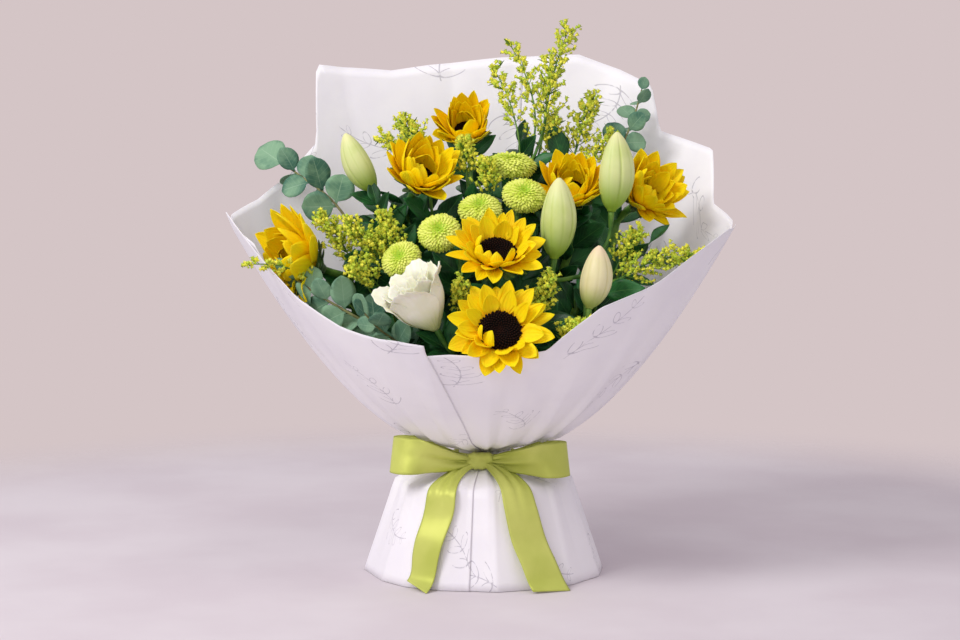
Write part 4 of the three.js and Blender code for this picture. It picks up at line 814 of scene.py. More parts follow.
def stem_middles(name, high):
    """Where a stem's long edges cross each level, near the place where the levels below foresee it."""
    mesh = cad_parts[name].data
    points = np.empty(3 * len(mesh.vertices))
    mesh.vertices.foreach_get("co", points)
    points = points.reshape(-1, 3) / MM
    ends = np.empty(2 * len(mesh.edges), np.int64)
    mesh.edges.foreach_get("vertices", ends)
    a, b = points[ends.reshape(-1, 2)[:, 0]], points[ends.reshape(-1, 2)[:, 1]]
    middles = []
    for height in np.arange(STEM_LOW, high, STEM_STEP):
        crossing = (a[:, 2] - height) * (b[:, 2] - height) < 0
        share = (height - a[crossing, 2]) / (b[crossing, 2] - a[crossing, 2])
        cut = a[crossing] + share[:, None] * (b[crossing] - a[crossing])
        if len(middles) > 1:
            foreseen = 2 * middles[-1] - middles[-2]
            cut = cut[np.linalg.norm(cut[:, :2] - foreseen[:2], axis=1) < STEM_NEAR]
        if not len(cut):
            break
        middles.append((cut.min(axis=0) + cut.max(axis=0)) / 2)
    return np.array(middles)


def stem_path(name, ends, until, count=56):
    """The stem's middles up to the level `until`, then on through the points of its upper end; it is noted down."""
    middles = stem_middles(name, until)
    keep = np.concatenate([middles[:-1:6], middles[-1:]])
    start = middles[0] + [0, 0, FOOT_RISE]
    stem_paths.append(smooth_path(np.concatenate([[start], keep[1:], np.atleast_2d(ends)]), count))
    return stem_paths[-1]


def seat_and_look(bloom):
    """A bloom's place and the way that it looks."""
    return np.array(bloom["place"], float), heading(*bloom["facing"])


def branch(fork, lead, seat, look, radius, past, count, sides):
    """A side stalk: out of the fork along its lead, and into the seat of a bloom the way the bloom looks."""
    reach = np.linalg.norm(seat - fork)
    way = [fork - 3 * lead, fork + lead * reach * 0.25, seat - look * reach * 0.3, seat + past * look]
    return tube(smooth_path(way, count), radius, sides)


# %% [markdown]
# ## Sunflowers
#
# A sunflower is a green cup of sepals, a ring of ray petals in two or three uneven layers, and a disc of hundreds
# of tiny florets set at the golden angle. Some of these blooms are wide open and some are still cups, so each has
# its own opening. All petals of a bloom come from one array: along, across, and one entry a petal.

# %% The blooms
SUNFLOWERS = {
    "top": dict(place=[-17, 46, 406], facing=[-98, 48], petal=[35, 18], open=[46, 32], curl=-30, nod=12,
                disc=12.5, folded=0),
    "upper_left": dict(place=[-60, -28, 366], facing=[-66, 44], petal=[38, 19], open=[60, 44], curl=-42, nod=10,
                       disc=14, folded=3),
    "centre": dict(place=[10, -116, 302], facing=[-88, 40], petal=[30, 15.5], open=[74, 48], curl=-12, nod=0,
                   disc=19, folded=4),
    "front": dict(place=[13, -158, 238], facing=[-87, 56], petal=[31, 17], open=[84, 64], curl=-5, nod=0,
                  disc=19.5, folded=2),
    "right_of_centre": dict(place=[80, -18, 352], facing=[-90, 46], petal=[36, 19], open=[52, 38], curl=-40, nod=8,
                            disc=13, folded=2),
    "right": dict(place=[148, 12, 347], facing=[-54, 58], petal=[37, 20], open=[66, 48], curl=-38, nod=6,
                  disc=13, folded=4),
    "left": dict(place=[-160, -54, 289], facing=[-150, 70], petal=[54, 25], open=[62, 46], curl=-30, nod=4,
                 disc=15, folded=3),
}
RING_THICK, CALYX_DEPTH = 3.0, 12.0
GOLDEN_ANGLE = np.radians(137.508)


def uneven_turns(chance, count, shift, loose):
    """Turns at nearly even steps round a ring, each off its place by up to `loose` of a step."""
    return 2 * np.pi * (np.arange(count) + shift + chance.uniform(-loose, loose, count)) / count


def rays(turn, root, rise, length, width, lean, curl, twist, cup, rows=15, columns=7):
    """Blades round an axis: each leaves the ring at its lean, bends by its curl and is cupped across."""
    turn, rise, length, width, lean, curl, twist, cup = (
        np.broadcast_to(x, len(turn))[:, None, None] for x in (turn, rise, length, width, lean, curl, twist, cup))
    t, u = grid_of(rows, columns)
    angle = np.radians(lean + curl * t)
    middle = np.radians(lean + curl * t / 2)
    wide = (0.4 + 0.6 * ease(t, 0, 0.38)) * (1 - t ** 4.0) ** 0.85 + 0.03
    out_share = root + length * t * np.sin(middle)
    up_share = rise + length * t * np.cos(middle)
    spin = np.radians(twist) * t
    lift = cup * width * 0.5 * wide * u * u + 0.028 * width * np.cos(2 * np.pi * u) * (1 - t * t)
    side_share = 0.5 * width * wide * u * np.cos(spin)
    lift = lift + 0.5 * width * wide * u * np.sin(spin)
    radial = out_share - lift * np.cos(angle)
    height = up_share + lift * np.sin(angle)
    return np.stack([radial * np.cos(turn) - side_share * np.sin(turn),
                     radial * np.sin(turn) + side_share * np.cos(turn), height], -1)


def placed(points, bloom):
    """Points of a bloom's own frame, put in the bunch."""
    return points @ head_axes(*bloom["facing"]) + np.array(bloom["place"], float)


LOWEST_RIM = 219


def rim_height(azimuth):
    """The highest rim of the sheets that pass this azimuth."""
    azimuth = (azimuth + 108) % 360 - 108
    rims = [np.interp(azimuth, *np.array(sheet["rim"], float).T, left=0, right=0) for sheet in PAPER_SHEETS.values()]
    return np.maximum(np.max(rims, axis=0), LOWEST_RIM)


def press_from_paper(patches, gap=6.0, give=11.0):
    """Points near the wall yield to it: past the last `give` millimetres a reach of x becomes 1 - exp(-x).

    This fades out from 2 mm under the rim of the paper to 12 mm above it.
    """
    for patch in patches:
        x, y, z = patch.points.T
        azimuth, reach = np.degrees(np.arctan2(y, x)), np.hypot(x, y)
        wall = wrap_radius(azimuth, z) - gap - give
        pressed = wall + give * (1 - np.exp(-np.maximum(reach - wall, 0) / give))
        rim = rim_height(azimuth)
        share = np.where(reach > wall, ease(-z, -rim - 12, -rim + 2), 0)
        scale = 1 + share * (pressed / np.maximum(reach, 1) - 1)
        patch.points = np.column_stack([x * scale, y * scale, z])
    return patches


# %% Petals of one bloom
RAY_LAYERS = [(14, -1.8, 1.0), (12, -0.6, 0.95), (9, 0.4, 0.72)]


def ray_petals(bloom, seed):
    """Uneven layers (petals, height, share of the length), opened further at the front by the nod, and a few
    petals that fold in over the disc."""
    chance = np.random.default_rng(seed)
    length, width = bloom["petal"]
    first, second = bloom["open"]
    patches = []
    for layer, (count, rise, share) in enumerate(RAY_LAYERS):
        turn = uneven_turns(chance, count, 0.5 * layer, 0.3)
        lean = [first, second, second - 14][layer] + bloom["nod"] * np.cos(turn)
        points = rays(
            turn, bloom["disc"] - 2.2, rise, length * share * chance.uniform(0.84, 1.1, count),
            width * chance.uniform(0.8, 1.1, count), lean + chance.uniform(-7, 9, count),
            bloom["curl"] + chance.uniform(-20, 20, count) - 4 * layer, chance.uniform(-26, 26, count),
            chance.uniform(0.15, 0.45, count))
        patches.append(sheets(placed(points, bloom), chance.uniform(0, 1, count)))
    count = bloom["folded"]
    if count:
        turn = np.radians(-35 + 34 * (np.arange(count) - 0.5 * count) + chance.uniform(-9, 9, count))
        points = rays(turn, bloom["disc"] - 1.0, 0.8, length * chance.uniform(0.5, 0.66, count), width * 0.8,
                      chance.uniform(12, 34, count), chance.uniform(-110, -70, count),
                      chance.uniform(-30, 30, count), 0.4)
        patches.append(sheets(placed(points, bloom), chance.uniform(0.4, 1, count)))
    return patches


# %% The disc and its florets
def ring_of(radius, height, sides):
    """A level ring of points."""
    return around(radius, full_circle(sides), height)


def rings_of(profile, sides):
    """Level rings for a profile of (radius, height)."""
    return np.stack([ring_of(radius, height, sides) for radius, height in profile])


FLORET_SIDES = 5
floret = ring_surface(rings_of([(0.5, -0.4), (0.62, 0.3), (0.52, 0.8), (0.2, 1.0)], FLORET_SIDES))


def dome(share):
    """The height of the disc at a share of its radius: low at the rim, high near it, and a dimple."""
    return np.interp(share, [0, 0.2, 0.45, 0.74, 1], [2.0, 2.6, 3.8, 4.2, 1.8])


def disc_florets(bloom, count=230):
    """The dome, and a floret standing square on it at each place of the golden spiral, radius as a square root."""
    radius = bloom["disc"] - 1.4
    k = np.arange(count) + 0.5
    share, turn = np.sqrt(k / count), GOLDEN_ANGLE * k
    profile = [(radius, 0.2)] + [(radius * s, dome(s)) for s in (1, 0.9, 0.74, 0.6, 0.45, 0.3, 0.15, 0.04)]
    base = ring_surface(rings_of(profile, 28), tone=0.2)
    slope = (dome(share + 0.03) - dome(share - 0.03)) / (0.06 * radius)
    out = around(1, turn, 0)
    up = unit(around(-slope, turn, 1) + 0.5 * share[:, None] * out)
    side = unit(np.cross(up, out))
    axes = np.stack([np.cross(side, up), side, up], 1)
    florets = copies(floret, around(radius * share, turn, dome(share)), axes, 1.1 + 0.9 * share,
                     np.clip(0.25 + 0.6 * share ** 3, 0, 1))
    for patch in (base, florets):
        patch.points = placed(patch.points, bloom)
    return [base, florets]


# %% The green cup
def calyx(bloom, seed):
    """A rounded cup that narrows into the stem, and two rows of pointed sepals."""
    chance = np.random.default_rng(seed)
    disc, top = bloom["disc"], -RING_THICK - 0.4
    profile = [(disc - 1.5, top), (disc - 0.6, top - 1), (disc * 0.95, top - 3), (disc * 0.8, top - 6),
               (disc * 0.52, top - 9), (5.2, top - 11.5), (4.2, top - 14)]
    patches = [ring_surface(placed(rings_of(profile, 24), bloom), tone=0.35)]
    for layer, count in enumerate((12, 10)):
        turn = uneven_turns(chance, count, 0.5 * layer, 0.2)
        lean = bloom["open"][0] + 6 + 4 * layer
        points = rays(turn, disc * 0.9 - layer, top - 2.2 - 2 * layer, chance.uniform(12, 18, count),
                      chance.uniform(6, 8, count), lean + chance.uniform(-4, 8, count),
                      0.6 * bloom["curl"] + chance.uniform(-10, 14, count), chance.uniform(-15, 15, count), 0.25,
                      rows=9, columns=5)
        patches.append(sheets(placed(points, bloom), chance.uniform(0, 1, count)))
    return patches


# %% Set the sunflowers
PETAL_SEED, CALYX_SEED, BUTTON_SEED, PLUME_SEED, SPRAY_SEED = 100, 200, 300, 400, 500
for number, (name, bloom) in enumerate(SUNFLOWERS.items()):
    petals = ray_petals(bloom, PETAL_SEED + number)
    if name != "front":
        petals = press_from_paper(petals)
    piece(f"fine_petals_{name}", petals, [RAY_PETAL],
          [f"sunflower_{name}_petals"], THICK["ray"])
    piece(f"fine_disc_{name}", disc_florets(bloom), [DISC_FLORET], [f"sunflower_{name}_disc"])
    seat, look = seat_and_look(bloom)
    top = seat - look * (RING_THICK + CALYX_DEPTH - 1)
    neck = top - 30 * look
    path = stem_path(f"sunflower_{name}_stem_and_calyx", [neck, top - 10 * look, top], neck[2] - 24)
    stalk = tube(path, 3.5 + 0.5 * np.linspace(1, 0, len(path)) ** 4, 10, finish=1)
    cup = press_from_paper(calyx(bloom, CALYX_SEED + number))
    piece(f"fine_stem_{name}", cup + [stalk], [SEPAL, STEM],
          [f"sunflower_{name}_stem_and_calyx"], THICK["sepal"])

# %% [markdown]
# ## Lily buds
#
# A closed lily bud is three broad petals pressed together, so its section is a soft triangle with a groove where two
# petals meet. It is a profile from root to tip, turned round its axis, with three lobes taken out.


# %% Lily buds and their stalks
LILY_BUDS = {
    "tall": dict(place=[115, -44, 336], facing=[-10, 4], size=[72, 16.5]),
    "middle": dict(place=[62, -88, 296], facing=[30, 4], size=[72, 16.5]),
    "low": dict(place=[92, -114, 254], facing=[20, 10], size=[56, 14.5]),
    "left": dict(place=[-102, -10, 352], facing=[176, 26], size=[60, 13.5]),
}


def lily_bud(bud):
    """The profile's radius at each height, less a lobe wave and a narrow groove at each of three seams; shade is
    painted in the grooves.
    """
    length, radius = bud["size"]
    t = np.linspace(0, 1, 46)[:, None]
    turn = full_circle(96)[None]
    profile = np.sin(np.pi * np.clip(t, 0.02, 0.995) ** 0.94) ** 0.58 * (1 - 0.12 * t) * 1.06
    seam = np.abs((np.degrees(turn) + 14 * t) % 120 - 60)
    groove = 0.07 * np.exp(-(seam / 4) ** 2) + 0.02 * np.exp(-((seam - 40) / 4) ** 2)
    lobe = 1 - 0.03 * (1 - np.cos(3 * turn)) - groove
    bend = (2.2 * np.sin(np.pi * t))[..., None] * np.array([1.0, 0.0, 0.0])
    # The tone is lowest in the grooves, so their colour is darker there: painted shade in the grooves.
    shade = 0.68 - 0.6 * np.exp(-(seam / 3.4) ** 2) - 0.3 * np.exp(-((seam - 40) / 3) ** 2)
    return ring_surface(placed(around(radius * profile * lobe, turn, length * t) + bend, bud), shade.ravel())


for name, bud in LILY_BUDS.items():
    piece(f"fine_lily_bud_{name}", [lily_bud(bud)], [BLUSH_BUD if name == "low" else LILY_BUD],
          [f"lily_bud_{name}"])

fork = np.array([86.0, -58, 262])
lead = heading(-20, 16)
below = fork - 30 * lead
stalks = [tube(stem_path("lily_stem_right", [below, fork], below[2] - 18), 3.4, 10)]
swell = np.interp(np.linspace(0, 1, 20), [0, 0.8, 1], [2.2, 1.9, 3.0])
for name in ("tall", "middle", "low"):
    stalks.append(branch(fork, lead, *seat_and_look(LILY_BUDS[name]), swell, past=1, count=20, sides=9))
piece("fine_lily_stem_right", stalks, [STEM], ["lily_stem_right"])

seat, look = seat_and_look(LILY_BUDS["left"])
below = seat - 30 * look
path = stem_path("lily_stem_left", [below, seat - 8 * look, seat + look], below[2] - 18)
piece("fine_lily_stem_left", [tube(path, 3.0, 10)], [STEM], ["lily_stem_left"])

# %% [markdown]
# ## Green button chrysanthemums
#
# A button chrysanthemum is a flattened ball of several hundred short quills. They stand up round a green dimple and
# lie outwards towards the rim. One quill of a few faces is copied to the places of a golden spiral over the ball.

# %% Buttons
BUTTONS = {
    "top": dict(place=[24, -16, 378], facing=[-80, 8], radius=24, stem="a"),
    "right": dict(place=[36, -54, 352], facing=[-82, 38], radius=20.5, stem="a"),
    "middle": dict(place=[-4, -70, 340], facing=[-92, 34], radius=20, stem="b"),
    "left": dict(place=[-40, -90, 320], facing=[-95, 50], radius=20, stem="b"),
    "low_left": dict(place=[-74, -101, 297], facing=[-112, 54], radius=18.5, stem="c"),
}
BUTTON_HEIGHT = 0.46
BALL_SHARE, BALL_END, DIMPLE_WIDTH = 0.8, 122, 0.24
t, u = grid_of(4, 4)
quill_wide = np.array([0.5, 1.0, 0.9, 0.25])[:, None]
quill = blade(0.5 * quill_wide * u, 0.22 * quill_wide * u * u + 0.25 * t * t, t)


def button(head, seed, count=430):
    """Quills over the ball from the dimple down to below the rim, longer and more level as they go out."""
    chance = np.random.default_rng(seed)
    radius = head["radius"]
    k = np.arange(count) + 0.5
    polar = np.arccos(1 - (1 - math.cos(math.radians(BALL_END))) * k / count)
    degrees = np.degrees(polar)
    turn = GOLDEN_ANGLE * k + chance.uniform(-0.05, 0.05, count)
    ball = around(np.sin(polar), turn, BUTTON_HEIGHT * np.cos(polar))
    dimple = 0.16 * np.exp(-(polar / DIMPLE_WIDTH) ** 2)
    places = radius * BALL_SHARE * ball - np.outer(radius * dimple, [0, 0, 1])
    along = around(np.cos(polar), turn, -np.sin(polar))
    normal = unit(ball / np.array([1, 1, BUTTON_HEIGHT ** 2]))
    spread = np.interp(degrees, [0, 12, 40, 80, BALL_END], [-0.5, 0.5, 1.25, 0.8, 0.25])[:, None]
    ahead = unit(normal + spread * along + chance.normal(0, 0.07, (count, 3)))
    size = radius * np.interp(degrees, [0, 15, 45, BALL_END], [0.1, 0.17, 0.24, 0.27])
    sizes = np.stack([size * 0.62, size * 0.6, size * chance.uniform(0.85, 1.1, count)], -1)
    tones = np.interp(degrees, [0, 14, 40, BALL_END], [0.05, 0.45, 0.75, 0.5]) + chance.uniform(-0.2, 0.2, count)
    axes = axes_along(ahead, normal + 0.01 * around(1, turn, 0))
    quills = copies(quill, places, axes, sizes, np.clip(tones, 0, 1))
    polar = np.linspace(0.05, math.radians(150), 16)[:, None]
    height = BUTTON_HEIGHT * np.cos(polar) - 0.19 * np.exp(-(polar / DIMPLE_WIDTH) ** 2)
    heart = ring_surface(radius * 0.83 * around(np.sin(polar), full_circle(24)[None], height), tone=0.1)
    for patch in (quills, heart):
        patch.points = placed(patch.points, head)
    return [quills, heart]


for number, (name, head) in enumerate(BUTTONS.items()):
    piece(f"fine_chrysanthemum_{name}", button(head, BUTTON_SEED + number), [LIME_QUILL],
          [f"chrysanthemum_{name}"], THICK["quill"])

for key, radius in {"a": 2.2, "b": 2.2, "c": 2.0}.items():
    name = f"chrysanthemum_stem_{key}"
    seats, looks = [], []
    for head in BUTTONS.values():
        if head["stem"] == key:
            place, look = seat_and_look(head)
            looks.append(look)
            seats.append(place - look * head["radius"] * BUTTON_HEIGHT * 0.9)
    if len(seats) == 1:
        below = seats[0] - 16 * looks[0]
        stalks = [tube(stem_path(name, [below, seats[0]], below[2] - 16), radius, 8)]
    else:
        meet, up = np.mean(seats, axis=0) + [0, 6, -34], np.array([0.0, 0, 1])
        stalks = [tube(stem_path(name, [meet - 10 * up, meet], meet[2] - 22), radius, 8)]
        stalks += [branch(meet, up, seat, look, radius - 0.5, past=0, count=14, sides=7)
                   for seat, look in zip(seats, looks)]
    piece(f"fine_{name}", stalks, [STEM], [name])

# %% [markdown]
# ## Lisianthus
#
# One cream lisianthus opens at the front left: a cup of broad, thin petals whose rims are waved and pointed. A petal
# wraps round the cup, so it is a function of the height and of the angle, with the ruffle growing to the rim.

# %% The lisianthus
LISIANTHUS = dict(place=[-42, -138, 238], facing=[-152, 33], length=54, mouth=26)


def cup_petals(flower, count, size, span, seed):
    """Petals round a bell: the radius rises as a sine to the belly, then flares to a waved, notched rim."""
    chance = np.random.default_rng(seed)
    t, u = grid_of(24, 31)
    turn = 2 * np.pi * (np.arange(count) + 0.5 * (seed % 2)) / count + chance.uniform(-0.15, 0.15, count)
    phase = chance.uniform(0, 6, count)[:, None, None]
    ruffle = t ** 4 * (1.5 * np.sin(5 * u + phase) + 0.7 * np.sin(13 * u - phase))
    wrap = np.radians(span / 2) * u * (0.6 + 0.4 * np.sqrt(t)) * (1 - 0.4 * ease(t, 0.55, 1.15))
    bell = 0.8 * np.sin(0.5 * np.pi * np.minimum(t / 0.62, 1)) + 0.26 * t ** 4
    flare = flower["mouth"] * size * bell * (1 + 0.14 * ease(t, 0.8, 1.0) * (1 - u * u))
    notch = 0.025 * np.abs(np.sin(11 * u + phase)) * ease(t, 0.7, 1)
    height = flower["length"] * (0.9 + 0.14 * size) * t * (1 - 0.26 * np.abs(u) ** 1.7 * t - notch)
    points = around(3.2 + flare + ruffle + 1.8 * u * t, turn[:, None, None] + wrap, height)
    return sheets(placed(points, flower), chance.uniform(0.2, 0.9, count))


# Each layer is a number of petals, its share of the mouth, the degrees that a petal spans, and a seed.
LISIANTHUS_LAYERS = [(4, 0.95, 126, 5), (4, 0.78, 112, 6), (3, 0.5, 140, 7), (3, 0.28, 150, 8)]
piece("fine_lisianthus_petals", [cup_petals(LISIANTHUS, *layer) for layer in LISIANTHUS_LAYERS], [CREAM_PETAL],
      ["lisianthus_petals"], THICK["cream"])
seat, look = seat_and_look(LISIANTHUS)
below = seat - 20 * look
path = stem_path("lisianthus_stem", [below, seat + 2 * look], below[2] - 12)
swell = np.interp(np.linspace(0, 1, len(path)), [0, 0.95, 1], [2.1, 2.0, 3.2])
piece("fine_lisianthus_stem", [tube(path, swell, 8)], [STEM], ["lisianthus_stem"])

# %% [markdown]
# ## Goldenrod
#
# Goldenrod is a plume: an arching stalk with short side stalks, each packed with tiny yellow-green heads. A head is
# a bud of a few faces, and the plume sets hundreds of them along curves, so each can stay that small.

# %% Plumes of goldenrod
# Each row is a plume: its base and tip, its side stalks and their reach, and where it leaves the main stalk.
GOLDENRODS = {
    "tall": [([50, 12, 394], [80, 72, 503], 40, 19, None), ([30, 14, 412], [10, 46, 464], 18, 12, 0.8),
             ([46, 26, 434], [26, 54, 486], 16, 11, 0.95), ([58, 24, 424], [62, 52, 472], 14, 12, 0.9)],
    "right_back": [([84, 30, 385], [104, 70, 438], 30, 15, None), ([62, 30, 385], [66, 62, 418], 22, 14, 0.8),
                   ([100, 26, 376], [120, 50, 404], 14, 11, 0.9)],
    "left_back": [([-58, 8, 385], [-76, 34, 416], 26, 16, None), ([-72, 4, 380], [-96, 22, 402], 14, 11, 0.9)],
    "centre": [([-16, -22, 366], [-20, -14, 398], 20, 13, None), ([4, -44, 350], [2, -42, 380], 20, 13, 0.72)],
    "left": [([-90, -76, 290], [-122, -88, 326], 34, 16, None), ([-120, -66, 294], [-146, -76, 330], 26, 14, 0.82),
             ([-84, -80, 292], [-88, -84, 334], 24, 15, 0.86), ([-94, -92, 272], [-116, -110, 290], 18, 13, 0.86),
             ([-146, -84, 272], [-212, -108, 293], 12, 8, 0.72)],
    "right": [([118, -78, 276], [192, -60, 296], 36, 15, None), ([120, -62, 288], [140, -56, 318], 20, 12, 0.86)],
    "front": [([44, -118, 246], [58, -134, 282], 22, 13, None), ([-16, -112, 240], [-22, -138, 278], 20, 12, 0.6),
              ([70, -126, 222], [82, -150, 242], 20, 13, 0.7)],
}
BUD_SIDES, HEADS_EACH = 10, 11
star = np.where(np.arange(BUD_SIDES) % 2, 0.45, 1.5)[:, None] * np.array([1.0, 1.0, 0.0])
bud_rings = rings_of([(0.3, 0), (0.8, 0.9), (0.55, 1.4), (1, 0), (0.25, 1.8)], BUD_SIDES)
bud_rings[3] = bud_rings[3] * star + [0, 0, 2.0]
bud_head = ring_surface(bud_rings)
t, u = grid_of(6, 3)
small_leaf = blade(0.09 * np.sin(np.pi * np.clip(t, 0.04, 0.97)) * u, 0.12 * t ** 2, t, finish=1)


def plume(stalk, base_share, twigs, reach, seed):
    """Side stalks leave the stalk at the golden angle, arch up, and carry heads along their outer part."""
    chance = np.random.default_rng(seed)
    share = base_share + (1 - base_share) * (np.arange(twigs) + chance.uniform(0, 1, twigs)) / twigs
    roots, ahead = on_stalk(stalk, share)
    side = unit(np.cross(ahead, [0.3, 1.0, 0.1]))
    out = fan(GOLDEN_ANGLE * np.arange(twigs), side, np.cross(side, ahead))
    late = (share - base_share) / (1 - base_share)
    length = (reach * (1.25 - 0.75 * late) * chance.uniform(0.65, 1.15, twigs))[:, None, None]
    s = np.linspace(0.3, 1, HEADS_EACH)[None, :, None]
    arch = roots[:, None] + length * (s * out[:, None] * 0.85 + (0.55 * s + 0.35 * s * s) * ahead[:, None])
    places = (arch + chance.normal(0, 1.3, arch.shape)).reshape(-1, 3)
    count = len(places)
    aim = np.repeat(out * 0.7 + ahead, HEADS_EACH, axis=0) + chance.normal(0, 0.45, (count, 3)) + [0, 0, 0.3]
    axes = axes_along(unit(aim), chance.normal(0, 1, (count, 3)))
    heads = copies(bud_head, places, axes, chance.uniform(1.0, 1.9, count), chance.uniform(0, 1, count))
    lines = np.stack([roots, arch[:, 3], arch[:, -1]], 1)
    twig_tubes = [tube(smooth_path(line, 4), 0.35, 4, finish=1) for line in lines]
    leaf_count = max(3, twigs // 3)
    pick = np.linspace(0, twigs - 1, leaf_count).astype(int)
    axes = axes_along(unit(out[pick] + 0.5 * ahead[pick]), ahead[pick])
    leaves = copies(small_leaf, roots[pick], axes, chance.uniform(9, 15, leaf_count),
                    chance.uniform(0.2, 0.9, leaf_count))
    return [heads, leaves, *twig_tubes]


def main_stalk(name, base, lead, margin):
    """A green stalk up to the base of a spray, and the finished tube round it."""
    path = stem_path(name, [base - 4 * lead, base], (base - 12 * lead)[2] - margin, 50)
    return path, tube(path, 1.5, 7, finish=1)


for number, (name, plumes) in enumerate(GOLDENRODS.items()):
    node_name = f"goldenrod_{name}"
    plumes = [(np.array(base, float), np.array(tip, float), *rest) for base, tip, *rest in plumes]
    main, thick = main_stalk(node_name, plumes[0][0], unit(plumes[0][1] - plumes[0][0]), 10)
    patches = [thick]
    for k, (base, tip, twigs, reach, leave) in enumerate(plumes):
        start = main[-2] if leave is None else main[int(leave * 0.9 * (len(main) - 1))]
        tall = np.linalg.norm(tip - base)
        stalk = smooth_path([start, base, base + (tip - base) * 0.5 + [0, 0, tall * 0.1], tip], 40)
        before = np.linalg.norm(base - start)
        patches.append(tube(stalk, np.linspace(1.2, 0.5, 40), 6, finish=1))
        patches += plume(stalk, before / (before + tall * 1.02), twigs, reach, PLUME_SEED + 10 * number + k)
    piece(f"fine_{node_name}", patches, [GOLDEN_BUD, STEM], [node_name])

# %% [markdown]
# ## Eucalyptus and dark leaves
#
# Silver-dollar eucalyptus carries round blue-green leaves in pairs on thin stalks, and the dark leaves are long and
# glossy. Both are one leaf shape with other widths: a stalk, a blade that widens and closes, a bend under its own
# weight and a fold along the midrib. Leaves turn their faces to the light, as cut greenery does in a vase.

# %% One leaf
def leaf_sheet(outline, bend, fold, wave, stalk=0.12):
    """A leaf one unit long and wide: half-width by the outline, bent down along it and folded up at its sides."""
    t, u = grid_of(11, 7)
    half = np.interp(np.clip((t - stalk) / (1 - stalk), 0, 1), *np.array(outline).T)
    return blade(half * u, -bend * t * t + fold * half * np.abs(u) + wave * half * np.sin(9 * t) * u, t)


ROUND = [[0, 0.05], [0.04, 0.2], [0.12, 0.33], [0.25, 0.44], [0.42, 0.5], [0.6, 0.48], [0.78, 0.39], [0.9, 0.26],
         [0.97, 0.14], [1, 0.03]]
LANCE = [[0, 0.06], [0.1, 0.22], [0.25, 0.4], [0.42, 0.5], [0.6, 0.45], [0.78, 0.3], [0.92, 0.12], [1, 0.02]]
round_leaves = [leaf_sheet(ROUND, *bent) for bent in ((0.1, 0.1, 0.02), (0.22, 0.18, -0.04), (-0.06, 0.08, 0.05))]
long_leaves = [leaf_sheet(LANCE, *bent) for bent in ((0.25, 0.22, 0.05), (0.38, 0.12, -0.06), (0.12, 0.3, 0.0))]
LIGHT = heading(-90, 62)


def set_leaves(kinds, roots, ahead, sizes, chance):
    """Leaves at their roots, pointing ahead, each turned about itself so that its face looks to the light."""
    count = len(roots)
    face = LIGHT + chance.normal(0, 0.28, (count, 3))
    face = unit(face - np.sum(face * ahead, -1, keepdims=True) * ahead)
    across = np.cross(face, ahead)
    axes = np.stack([across, face, ahead], 1)
    tones = chance.uniform(0.1, 0.9, count)
    kind = np.arange(count) % len(kinds)
    return [copies(kinds[k], roots[kind == k], axes[kind == k], sizes[kind == k], tones[kind == k])
            for k in range(len(kinds)) if (kind == k).any()]


# %% The sprays
SPRAYS = {
    "eucalyptus_left_back": dict(path=[[-112, -14, 306], [-142, 8, 344], [-170, 30, 364], [-190, 50, 376]],
                                 pairs=4, leafy=0.62, size=[33, 30], tip=1.15),
    "eucalyptus_left_low": dict(path=[[-84, -84, 226], [-118, -104, 248], [-150, -96, 266], [-178, -78, 284]],
                                pairs=6, leafy=0.85, size=[32, 26]),
    "eucalyptus_front_left": dict(path=[[-58, -84, 206], [-80, -112, 226], [-96, -136, 242], [-104, -142, 252]],
                                  pairs=4, leafy=0.8, size=[30, 27]),
    "eucalyptus_right_back": dict(path=[[104, 40, 352], [128, 66, 388], [144, 88, 420], [152, 100, 446]],
                                  pairs=4, leafy=0.5, size=[24, 20]),
    "leaves_left": dict(path=[[-72, -34, 262], [-90, -30, 306], [-98, -24, 338]], pairs=6, leafy=0.95, size=[46, 21]),
    "leaves_right": dict(path=[[74, -62, 226], [112, -52, 268], [150, -36, 306]], pairs=7, leafy=0.95, size=[46, 21]),
    "leaves_back": dict(path=[[14, 14, 300], [28, 24, 350], [34, 30, 392]], pairs=6, leafy=0.8, size=[46, 22]),
}


def spray_leaves(spray, stalk, kinds, chance):
    """Pairs of leaves on alternate sides of the stalk, smaller towards its tip, and one leaf at the tip."""
    pairs = spray["pairs"]
    number = np.arange(2 * pairs)
    share = 1 - spray["leafy"] * (1 - (number // 2 + 0.1 * (number % 2)) / pairs)
    roots, along = on_stalk(stalk, share)
    side = unit(np.cross(along, LIGHT))
    turn = np.radians(np.where(number % 2, 0, 180) + (number // 2 % 2) * 62 + chance.uniform(-20, 20, len(number)))
    ahead = unit(0.75 * along + fan(turn, side, np.cross(side, along)))
    grown = (1.05 - 0.4 * (share - share[0]) / (1 - share[0])) * chance.uniform(0.85, 1.1, len(number))
    length, width = spray["size"]
    sizes = np.stack([width * grown, length * grown * 0.6, length * grown], -1)
    last = np.array([width, length * 0.6, length]) * spray.get("tip", 0.6)
    return set_leaves(kinds, np.vstack([roots, stalk[-1:]]), unit(np.vstack([ahead, along[-1:]])),
                      np.vstack([sizes, last]), chance)


for number, (name, spray) in enumerate(SPRAYS.items()):
    chance = np.random.default_rng(SPRAY_SEED + number)
    silver = name.startswith("eucalyptus")
    kinds, finish, wood, slot = ((round_leaves, EUCALYPTUS_LEAF, WOODY, "eucalyptus") if silver else
                                 (long_leaves, DARK_LEAF, STEM, "dark_leaves"))
    points = np.array(spray["path"], float)
    lead = unit(points[1] - points[0])
    main, thick = main_stalk(name, points[0], lead, 14)
    stalk = smooth_path(np.concatenate([[points[0] - 4 * lead], points]), 60)
    patches = [thick, tube(stalk, np.linspace(1.4, 0.6, 60), 7, finish=1)]
    patches += press_from_paper(spray_leaves(spray, stalk, kinds, chance))
    piece(f"fine_{name}", patches, [finish, wood], [name], THICK["leaf"])

